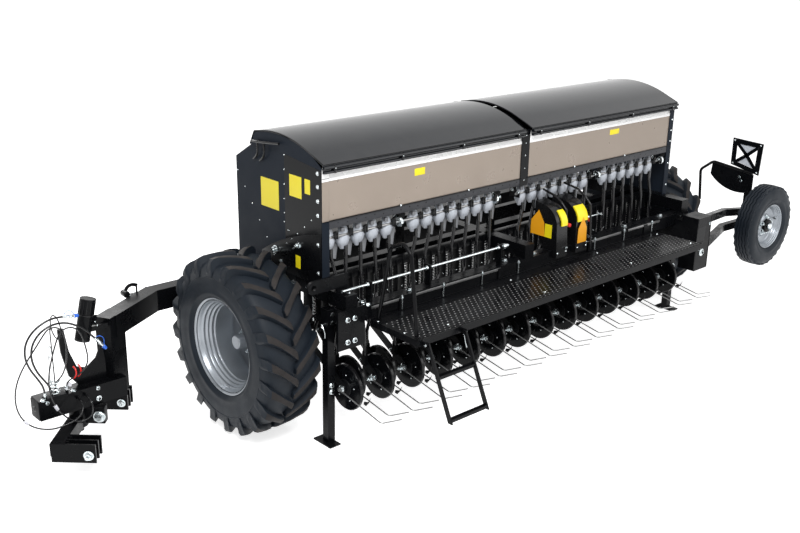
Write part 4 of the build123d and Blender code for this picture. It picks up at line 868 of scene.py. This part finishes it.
FIN = [(0, 0), (42, 12), (66, 50), (52, 12), (20, -26), (-6, -22)]
fin = prism(FIN, 5.0, cast_black, bevel=1.0)
pressure_spring = spring(24, 236, 11, 4.2, spring_wire)
YOKE_Y = 178.0
yoke = prism([(YOKE_Y - 46, 800), (YOKE_Y + 30, 780), (YOKE_Y + 52, 860), (YOKE_Y + 50, 1100),
              (YOKE_Y - 36, 1100), (YOKE_Y - 50, 960)], 6.0, cast_black, corner=10.0, bevel=1.0)
RAIL = cube((3790, 56, 56), satin_black, 3.0)        # ties the spring yokes together between the side beams
for name, (first, y, z) in RANKS.items():
    rows = Gather()
    slope = Vector((0, PIVOT[0] - y, PIVOT[1] - z))
    for i in range(first, ROWS, 2):
        x = row_x(i)
        if i:                        # the end opener's nut would foul the rising stand
            rows.on(nut(30.0), (x - 60, y, z), LEFT)
        rows.on(lathe([(0, 26), (10, 26), (14, 18), (22, 17), (22, 0)], zinc, 20), (x - 26, y, z), LEFT)
        rows.on(nut(26.0), (x + 33, y, z), RIGHT)
        rows.put(fin, shift(x + 44, y - 150, z - 66) @ turned(180, "Z") @ ALONG_X)
        rows.put(bar((x + 44, y - 120, z - 70), (x + 30, y - 20, z - 6), 6, 26, cast_black, 1.0))
        top = Vector((x - 16, y, z)) + slope * 0.72
        up = Vector((0, -0.42, 1)).normalized()
        seat = top + Vector((0, 6, 34))
        rows.on(cube((46, 60, 30), cast_black, 3.0), seat - up * 8, up)
        rows.on(cylinder(11, 190, satin_black, 10), seat, up)
        rows.put(cylinder(20, 30, black_plastic, 16, top=17, bevel=2.0), shift(x - 27, y + 105, 540))
        for turn in (-1, 1):
            rows.put(yoke, side_on(x - 16 + turn * 38))
        rows.put(pressure_spring, shift(x - 16, YOKE_Y, 842))
        rows.put(cylinder(8, 300, zinc, 10), shift(x - 16, YOKE_Y, 800))
        rows.put(cylinder(31, 14, cast_black, 16, bevel=2), shift(x - 16, YOKE_Y, 832))
        rows.on(BOLT_S, (x - 57, YOKE_Y, 1058), LEFT)
        rows.on(RIVET, (x - 57, YOKE_Y - 24, 880), LEFT)
        for share in (0.3, 0.92):
            spot = Vector((x - 22, y, z)) + slope * share
            rows.on(BOLT_S, spot, LEFT)
    if name == "rear":
        rows.put(RAIL, shift(0, YOKE_Y, 1082))
    rows.piece("opener_fittings_" + name, "chassis")

# %% Disc faces
# Rivets, a raised boss and a plain band round the edge of each disc, which turn with it.
for name, (first, y, z) in RANKS.items():
    faces = Gather()
    for i in range(first, ROWS, 2):
        x = row_x(i)
        faces.on(lathe([(0, 62), (5, 60), (8, 46), (8, 16)], cast_black, 28), (x - 2, y, z), LEFT)
        for dy, dz in ring(5, 96, 0.4):
            faces.on(RIVET, (x - 2.2, y + dy, z + dz), LEFT)
        faces.put(lathe([(-11, 164), (-9, 166.5), (9, 166.5), (11, 164)], black_plastic, 48),
                  side_on(x + 15, y, z))
    faces.piece("disc_faces_" + name, "discs_" + name)
print("openers done")

# %% [markdown]
# ## Platform and ladder
# The walkway is sheet with pressed dots for grip, and a plain border. The dots are low domes of a few
# faces each, in light grey metal as a painted highlight where their tops catch the light.

# %% Platform tread
TREAD_X = (-1750.0, 1470.0)
TREAD_Y = (-712.0, -375.0)
TREAD_TOP = 900.0
DOT_STEP = (46.0, 33.0)
# light grey metal on the dots: a painted highlight where they catch the light
dot = lathe([(0, 6.0), (1.8, 4.0), (2.6, 0)], spring_wire, 6)
tread = Gather()
columns = int((TREAD_X[1] - TREAD_X[0]) / DOT_STEP[0]) + 1
rows = int((TREAD_Y[1] - TREAD_Y[0]) / DOT_STEP[1]) + 1
for i in range(columns):
    for j in range(rows):
        stagger = DOT_STEP[0] / 2 * (j % 2)
        tread.put(dot, shift(TREAD_X[0] + i * DOT_STEP[0] + stagger, TREAD_Y[0] + j * DOT_STEP[1],
                             TREAD_TOP - 0.1))
for y in (-278, -352):
    tread.put(cube((3260, 5, 3), satin_black, 1.0), shift(-145, y, TREAD_TOP + 1.2))
for x, y in ((-1769, -315), (-1768, -580), (-1436, -318), (-1443, -656), (-450, -657), (-450, -318), (600, -318),
             (1440, -318), (600, -657), (1440, -657)):
    tread.put(SCREW, shift(x, y, TREAD_TOP))
tread.piece("platform_tread", "chassis")
print("tread dots", columns * rows)

# %% Ladder latch
latch = Gather()
for x in (-1735, -1395):
    inward = 1 if x < -1500 else -1
    latch.on(lathe([(0, 9), (6, 9), (8, 6), (14, 6), (14, 0)], zinc, 14), (x - 12 * inward, -765, 868),
             (-inward, 0, 0))
    latch.put(wire([(x + 12 * inward, -778, 850), (x + 18 * inward, -792, 812), (x + 12 * inward, -806, 774)],
                   4, zinc))
latch.piece("ladder_pins", "ladder")

# %% [markdown]
# ## Drive covers
# Two covers with rounded shoulders stand over the rear beam. Blank patches follow their curve, so each is a
# prism whose outline bends with the shoulder.

# %% Cover patches and caps
SHOULDER = [(-292.0, 1200.0), (-288.5, 1240.0), (-272.0, 1276.0), (-250.0, 1304.0), (-228.0, 1320.0)]
SHOULDER_IN = [(-226.0, 1308.0), (-244.0, 1292.0), (-262.0, 1268.0), (-277.0, 1236.0), (-280.0, 1200.0)]
PENTAGON = [(0, 0), (-156, 0), (-144, 112), (-84, 207), (-12, 116)]
covers = Gather()
covers.put(prism([(y - 3, z + 1096) for y, z in PENTAGON], 1.4, label_orange), side_on(109.6))
covers.put(prism([(-158, 1096), (-228, 1096), (-228, 1205), (-158, 1205)], 1.4, label_yellow), side_on(109.6))
for x0, x1 in ((158, 226), (358, 478)):
    covers.put(prism(SHOULDER + SHOULDER_IN, x1 - x0, label_yellow), side_on((x0 + x1) / 2))
covers.put(prism([(x + 418, z + 1022) for x, z in ((-56, 0), (56, 0), (52, 120), (4, 208), (-52, 120))], 2.0,
                 label_orange), shift(0, -291.6, 0) @ turned(90, "X"))
for x in (268, 518):
    covers.on(cylinder(16, 26, signal_red, 16, bevel=3), (x, -256, 1188), BACK)
    covers.put(cube((40, 40, 30), satin_black, 3), shift(x - 6, -236, 1188))
covers.on(cylinder(11, 60, zinc, 14, bevel=2), (528, -232, 1196), RIGHT)
covers.on(cylinder(5, 190, zinc, 10, bevel=1), (540, -232, 1196), RIGHT)
covers.on(cylinder(4.5, 60, zinc, 10, bevel=1), (700, -262, 1196), (0.2, 1, 0.1))
for x in (120, 222, 366, 474):
    covers.on(SCREW, (x, -292, 985), BACK)
for x in (226, 482):
    covers.on(BOLT_S, (x, -291, 1010), BACK)
covers.piece("drive_cover_fittings", "chassis")

# %% [markdown]
# ## Frame
# Bolts and clamps on the beams and stands, and thin light bars that are a painted highlight along the rear beam's
# top edge.

# %% Frame fittings
REAR_BEAM_TOP = 1000.0
bolts = Gather()
for x, y in ((-1786, -170), (-1790, -228), (-1376, -195), (-370, -175), (-60, -195), (640, -195), (1120, -195),
             (1640, -195)):
    bolts.put(BOLT_L, shift(x, y, REAR_BEAM_TOP))
# thin light bars: a painted highlight along the rear beam's top edge
for x0, x1 in ((-1776, -1501), (-1365, -497), (560, 1000), (1100, 1560)):
    bolts.put(cube((x1 - x0, 4, 20), spring_wire, 1.0), shift((x0 + x1) / 2, -253, 982))
for x in (-1500, -1100, -700, -300, 640, 1040, 1440):
    bolts.put(cylinder(5, 92, zinc, 10), shift(x, -258, 902))
    bolts.put(nut(17.0), shift(x, -258, 990))
for x in (-1990, -1930, 1930, 1990):
    for z in (790, 950):
        bolts.on(BOLT_M, (x, -262, z), BACK)
for sign in (-1, 1):
    for y in (60, 320, 620, 860):
        bolts.on(BOLT_M, (sign * 1995, y, 1062), (sign, 0, 0))
    for z in (905, 965):             # on the sleeve the stand slides in
        bolts.on(BOLT_M, (sign * 2030, -141, z), BACK)
    bolts.on(cylinder(6, 26, zinc, 10, bevel=1), (sign * 2064, -105, 890), (sign, 0, 0))
    bolts.put(wire([(sign * 2084, -105, 890), (sign * 2088, -128, 868), (sign * 2084, -140, 830),
                    (sign * 2078, -128, 800)], 3.5, zinc))
bolts.piece("frame_bolts", "chassis")
for side, sign in (("left", -1), ("right", 1)):
    stand = Gather()
    for z in (438, 390):
        stand.on(BOLT_M, (sign * 2030, -135, z), BACK)
    stand.piece("stand_fittings_" + side, "stand_" + side)
print("frame done")

# %% [markdown]
# ## Transport gear
# The post carries the two road wheels and the blank board. Each wheel turns on a domed zinc hub.

# %% Post and board fittings
post = Gather()
post.on(BOLT_L, (1883, -500, 690), BACK)
post.on(lathe([(0, 34), (8, 34), (10, 30), (10, 0)], zinc, 20), (1883, -500, 690), BACK)
post.on(BOLT_S, (1978, -500, 940), BACK)
for x in (1790, 1998):
    post.put(cube((6, 3, 470), satin_black, 1.0), shift(x, -501, 768))
post.put(prism([(1797, 770), (1923, 770), (1923, 930), (1797, 930)], 2.0, gloss_black, corner=14.0),
         shift(0, -499.5, 0) @ turned(90, "X"))
post.piece("post_fittings", "chassis")

board = Gather()
BOARD = [(93, 1460), (-235, 1445), (-220, 1128), (91, 1193)]     # corners of the X-braced board, Y and Z
centre = Vector((sum(y for y, z in BOARD) / 4, sum(z for y, z in BOARD) / 4))
inner = [centre + (Vector(corner) - centre) * 0.68 for corner in BOARD]
for k in range(4):
    a, b = BOARD[k], BOARD[(k + 1) % 4]
    c, d = inner[(k + 1) % 4], inner[k]
    board.put(prism([a, b, tuple(c), tuple(d)], 5.0, gloss_black, bevel=0.8), side_on(3246))
    spot = centre + (Vector(a) - centre) * 0.86
    board.put(bar((3248, *centre), (3248, *d), 5, 30, gloss_black))
    board.on(SCREW, (3243, *spot), LEFT)
    if k % 2 == 0:                   # blank pale sheet shows in the upper and lower openings
        board.put(prism([tuple(d), tuple(c), tuple(centre)], 1.2, feed_grey), side_on(3252))
board.put(cube((14, 74, 84), satin_black, 2.0), shift(3238, -40, 1066))
board.on(BOLT_S, (3232, -30, 1084), LEFT)
board.on(BOLT_S, (3232, -52, 1050), LEFT)
board.piece("board_fittings", "road_arm_rear")

for rank, (x, y, z) in ROAD_AT.items():
    hub = Gather()
    hub.on(lathe([(0, 30), (24, 30), (34, 24), (40, 12), (42, 0)], zinc, 24), (x - 108, y, z), LEFT)
    for dy, dz in ring(5, 62):
        hub.on(BOLT_S, (x - 82, y + dy, z + dz), LEFT)
    hub.piece("road_hub_" + rank, "road_wheel_" + rank)
print("transport done")

# %% [markdown]
# ## Hitch
# The turning head carries link plates in threes with bushings between them, held by long zinc pins.
# A canister for papers, warning-red clips and a wire ring that gathers the hoses sit on the drawbar.

# %% Link pins and bushings
HEAD = shift(-3370, 950, 0) @ turned(-43, "Z")
PIN_X, PIN_Z = 205.0, 175.0
PLATES = (440.0, 378.0, 316.0)       # how far each plate of a group lies from the head's middle
PLATE_HALF = 7.5
BOSS = 12.0
head = Gather()                      # in the head's own frame, and turned with it at the end
for sign in (-1, 1):
    outward, inward = (0, sign, 0), (0, -sign, 0)
    head.on(nut(40.0), (PIN_X, sign * (PLATES[0] + PLATE_HALF + 1), PIN_Z), outward)
    head.on(bolt(38.0), (PIN_X, sign * (PLATES[2] - PLATE_HALF - 1), PIN_Z), inward)
    for a, b in zip(PLATES, PLATES[1:]):
        head.on(cylinder(13, a - b - 2 * PLATE_HALF + 2, zinc), (PIN_X, sign * (a - PLATE_HALF + 1), PIN_Z),
                inward)
        for y in (a - PLATE_HALF, b + PLATE_HALF + BOSS):
            head.on(cylinder(32, BOSS, cast_black, 24, bevel=2.5), (PIN_X, sign * y, PIN_Z), inward)
            head.put(cube((74, BOSS, 60), cast_black, 5.0), shift(28, sign * (y - BOSS / 2), 214))
head.put(cube((150, 70, 120), cast_black, 6.0), shift(110, 20, 236))
head.on(lathe([(0, 36), (10, 36), (12, 30), (12, 0)], zinc, 20), (152, -15, 236), BACK)
head.on(bolt(52.0), (152, -24, 236), BACK)
Gather().put(head.mesh(), HEAD).piece("link_pins", "hitch_head")

# %% Knuckle fittings
knuckle = Gather()
knuckle.put(prism([(886, 302), (1014, 302), (1014, 438), (886, 438)], 8, cast_black, corner=16, bevel=2.5),
            side_on(-3658))
knuckle.on(lathe([(0, 20), (2, 19), (3, 14), (-2, 13), (-2, 0)], black_plastic, 24), (-3662, 950, 372), LEFT)
knuckle.put(cube((150, 60, 14), cast_black, 4.0), shift(-3540, 905, 446))
for x, y in ((-3625, 888), (-3405, 905)):
    knuckle.put(BOLT_M, shift(x, y, 441))
for x in (-3600, -3243):
    knuckle.on(BOLT_S, (x, 885, 418), BACK)
knuckle.on(BOLT_M, (-3243, 884, 343), BACK)
knuckle.on(BOLT_M, (-3590, 930, 300), (0, 0, -1))
knuckle.on(cylinder(34, 30, cast_black, 24, bevel=3), (-3340, 912, 372), BACK)
for x, y in ((-3605, 900), (-3450, 912)):
    knuckle.put(cylinder(11, 26, zinc, 6, bevel=1), shift(x, y, 446))
    knuckle.put(cylinder(8.5, 16, zinc, 14), shift(x, y, 470))
knuckle.put(spring(36, 96, 4, 4.6, zinc), shift(-3530, 915, 452))
knuckle.put(wire([(-3540, 925, 520), (-3552, 925, 540), (-3552, 925, 640), (-3548, 918, 700),
                  (-3558, 900, 745), (-3562, 890, 790), (-3548, 884, 815), (-3536, 892, 780),
                  (-3545, 910, 720)], 3.6, zinc))
for x, z in ((-3402, 590), (-3368, 596)):
    knuckle.put(wire([(x, 885, z + 34), (x + 2, 862, z + 30), (x + 4, 852, z), (x, 862, z - 34),
                      (x - 8, 884, z - 50)], 5.5, signal_red))
knuckle.piece("knuckle_fittings", "chassis")

# %% Canister and hook
CANISTER_FOOT, CANISTER_TOP = Vector((-3312, 915, 778)), Vector((-3245, 915, 1061))
along = CANISTER_TOP - CANISTER_FOOT
trim = Gather()
for share, radius, tall in ((0.0, 51, 12), (0.60, 54.5, 8), (0.985, 54, 5)):
    hoop = lathe([(0, radius - 2), (1.5, radius), (tall, radius), (tall + 1.5, radius - 2)], black_plastic,
                 32)
    trim.put(hoop, shift(0, 0, share * along.length))
for i in range(14):
    trim.put(cube((4, 4, 92), black_plastic, 1.2),
             shift(0, 0, 0.80 * along.length) @ turned(i * 360 / 14, "Z") @ shift(52.4, 0, 0))
canister = Gather().on(trim.mesh(), CANISTER_FOOT, along)
for x, y, z in ((-3226, 878, 902), (-3214, 878, 872), (-3262, 872, 792)):
    canister.on(RIVET, (x, y, z), BACK)
canister.put(bar((-3268, 925, 905), (-3190, 935, 890), 6, 70, satin_black, 1.0))
canister.piece("canister_trim", "chassis")

HOOK = (-2740, 1285, 850)            # on top of the leaning drawbar
hook = Gather()
hook.put(cube((110, 70, 14), satin_black, 3.0), shift(0, 0, 6))
hook.put(bar((30, -6, 8), (34, -8, 86), 52, 12, satin_black, 2.0))
hook.put(wire([(34, -8, 80), (0, -10, 98), (-46, -10, 84), (-62, -10, 44), (-58, -10, 24)], 13, satin_black))
hook.on(cylinder(24, 62, black_plastic, 18, bevel=3), (-64, -46, 40), (0, 1, 0))
for x in (-30, 10):
    hook.put(BOLT_S, shift(x, -16, 12))
Gather().put(hook.mesh(), shift(*HOOK)).piece("drawbar_hook", "chassis")
print("hitch done")

# %% [markdown]
# ## Hoses
# Two hydraulic lines end in couplings with blue caps, and two thinner ones loop round the ring and go back
# into the knuckle. Each is a smooth NURBS curve through its given route, drawn at its own thickness.

# %% Routes
GLAND_TOP, GLAND_SIDE = 460, 865     # where the hoses leave the glands: height, and Y on the side
ROUTES = {
    "hose_a": (7.0, "connector", [
        (-3605, 900, GLAND_TOP), (-3605, 900, 520), (-3645, 880, 600), (-3700, 866, 695), (-3728, 860, 790),
        (-3712, 860, 885), (-3650, 860, 958), (-3560, 860, 1000), (-3490, 860, 1006), (-3430, 860, 996)]),
    "hose_b": (7.0, "connector", [
        (-3565, 900, GLAND_TOP), (-3565, 900, 520), (-3615, 862, 595), (-3668, 838, 680), (-3696, 836, 775),
        (-3683, 836, 868), (-3625, 836, 940), (-3540, 836, 975), (-3450, 836, 968), (-3370, 836, 925),
        (-3300, 836, 860), (-3245, 836, 790)]),
    "hose_c": (5.0, "object", [
        (-3395, GLAND_SIDE, 395), (-3395, 818, 395), (-3405, 772, 370), (-3435, 755, 330), (-3482, 757, 300),
        (-3548, 770, 282), (-3620, 780, 275), (-3695, 785, 298), (-3765, 785, 345), (-3815, 785, 412),
        (-3841, 785, 490), (-3843, 785, 575), (-3825, 785, 655), (-3785, 785, 735), (-3730, 785, 808),
        (-3672, 785, 876), (-3625, 785, 935), (-3585, 785, 975), (-3530, 785, 972), (-3498, 785, 935),
        (-3482, 785, 885), (-3477, 785, 825), (-3483, 785, 740), (-3496, 797, 668), (-3512, 820, 612),
        (-3524, 855, 575), (-3529, 890, 545), (-3530, 912, 503), (-3530, 912, GLAND_TOP)]),
    "hose_d": (5.0, "object", [
        (-3340, GLAND_SIDE, 400), (-3340, 817, 400), (-3338, 780, 365), (-3342, 772, 318), (-3362, 778, 282),
        (-3405, 790, 262), (-3455, 800, 270), (-3505, 807, 305), (-3555, 807, 372), (-3592, 807, 452),
        (-3612, 807, 545), (-3604, 807, 650), (-3576, 807, 750), (-3540, 807, 848), (-3515, 807, 902),
        (-3480, 807, 934), (-3436, 807, 940), (-3395, 807, 921), (-3366, 807, 882), (-3348, 807, 820),
        (-3335, 807, 750), (-3329, 807, 684), (-3342, 817, 632), (-3368, 838, 588), (-3400, 866, 558),
        (-3430, 893, 535), (-3450, 912, 502), (-3450, 912, GLAND_TOP)]),
}

# %% Couplings, caps and tags
TAGS = {                             # hose: middle of its tag and the way the hose runs there
    "hose_c": ((-3790, 785, 378), (-50, 0, 67)),
    "hose_d": ((-3572, 807, 408), (-37, 0, 80)),
}
COUPLINGS = {"hose_a": (58.0, 26.0), "hose_b": (70.0, 30.0)}     # length of the coupling and of its cap
for name, (long, cap) in COUPLINGS.items():
    route = ROUTES[name][2]
    tip = Vector(route[-1])
    way = (tip - Vector(route[-2])).normalized()
    end = Gather()
    end.on(lathe([(-26, 8.5), (-2, 9.5), (0, 9.5), (0, 0)], zinc, 18), tip, way)
    end.on(cylinder(12, long * 0.34, zinc, 6, bevel=1.0), tip, way)
    end.on(lathe([(0, 9.5), (2, 11.5), (long * 0.42, 11.5), (long * 0.46, 10.0), (long * 0.60, 10.0),
                  (long * 0.66, 7.0)], zinc, 24), tip + way * long * 0.34, way)
    end.on(lathe([(-3, 10.5), (0, 13.2), (cap * 0.3, 13.2), (cap * 0.4, 12.2), (cap * 0.9, 11.4), (cap, 9.0),
                  (cap, 0)], cap_blue, 24), tip + way * long, way)
    side = way.cross(Vector((0, 1, 0)))
    strap = [tip + way * long * share + side * out
             for share, out in ((0.9, 12), (0.6, 36), (0.1, 40), (-0.2, 26), (-0.25, 11))]
    end.put(wire(strap, 2.4, cap_blue))
    end.piece(name + "_end", "chassis")
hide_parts("hose_couplings")

for name, (middle, way) in TAGS.items():
    tag = Gather()
    tag.on(cylinder(8.2, 40, tag_white, 14, bevel=1), Vector(middle) - Vector(way).normalized() * 20, way)
    tag.on(cube((30, 2.2, 34), tag_white, 0.6), Vector(middle) + Vector((-9, 0, -6)), way)
    tag.piece(name + "_tag", "chassis")
flag = Gather()
flag.on(cube((40, 3, 28), tag_white, 0.8), (-3436, 902, 500), (0.3, 0.2, 1))
flag.on(cube((36, 12, 3), tag_white, 0.8), (-3456, 892, 474), (0.4, 0.2, 1))
flag.piece("hose_marker", "chassis")

# %% Curves
for name, (radius, far_end, route) in ROUTES.items():
    places = [at(*point) for point in route]
    curve = smooth_curve(places, radius * MM, resolution=12, sides=4)
    curve.materials.append(hose_black)
    hose = add(name + "_line", curve)
    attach(hose, "chassis")
    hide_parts(name)
    print(name, "drawn length", round(curve.splines[0].calc_length(), 3))

# %% [markdown]
# ## Studio
# A pale floor, large soft lamps, and an even sky. The camera and mirror-like surfaces see the floor and sky as
# plain white;
# all other light from them is dimmer, which keeps the blacks deep.

# %% Floor
floor_mesh = bpy.data.meshes.new("floor")
ground = bmesh.new()
bmesh.ops.create_grid(ground, x_segments=1, y_segments=1, size=60.0)
ground.to_mesh(floor_mesh)
ground.free()
floor = add("floor", floor_mesh)
floor_paint = bpy.data.materials.new("pale floor")
floor_paint.use_nodes = True
floor_shader = floor_paint.node_tree.nodes["Principled BSDF"]
floor_shader.inputs["Base Color"].default_value = (0.90, 0.90, 0.90, 1)
floor_shader.inputs["Roughness"].default_value = 0.9
floor_shader.inputs["Specular IOR Level"].default_value = 0.1
floor_shader.inputs["Emission Color"].default_value = (1, 1, 1, 1)
FLOOR_GLOW = 0.72                    # only for what the camera and mirror-like surfaces see of the floor


def seen(tree, hidden, shown):
    """A number that is `shown` to the camera and in reflections, and `hidden` to all other light."""
    ray = tree.nodes.new("ShaderNodeLightPath").outputs
    either = combined(tree, "MAXIMUM", ray["Is Camera Ray"], ray["Is Glossy Ray"])
    choice = tree.nodes.new("ShaderNodeMix")
    choice.data_type = "FLOAT"
    choice.inputs["A"].default_value = hidden
    choice.inputs["B"].default_value = shown
    tree.links.new(combined(tree, "MAXIMUM", either, ray["Is Transmission Ray"]), choice.inputs["Factor"])
    return choice.outputs["Result"]


floor_paint.node_tree.links.new(seen(floor_paint.node_tree, 0.0, FLOOR_GLOW),
                                floor_shader.inputs["Emission Strength"])
floor_mesh.materials.append(floor_paint)

# %% Sky
SKY_SEEN, SKY_CAST = 1.0, 0.40
world = bpy.data.worlds.new("studio")
world.use_nodes = True
bpy.context.scene.world = world
tree = world.node_tree
background = tree.nodes["Background"]
background.inputs["Color"].default_value = (1, 1, 1, 1)
tree.links.new(seen(tree, SKY_CAST, SKY_SEEN), background.inputs["Strength"])


# %% Lamps
def lamp(name, place, target, size, power):
    data = bpy.data.lights.new(name, "AREA")
    data.size = size
    data.energy = power
    aim = (target - place).to_track_quat("-Z", "Y").to_matrix().to_4x4()
    add(name, data).matrix_world = Matrix.Translation(place) @ aim


target = at(0, 400, 900)
lamp("key", at(-4500, -4500, 7500), target, 3.5, 700)
lamp("fill", at(5000, -6500, 4500), target, 5.0, 190)
lamp("rim", at(-1500, 7000, 5500), target, 5.0, 320)
bpy.context.scene.view_settings.view_transform = "Standard"
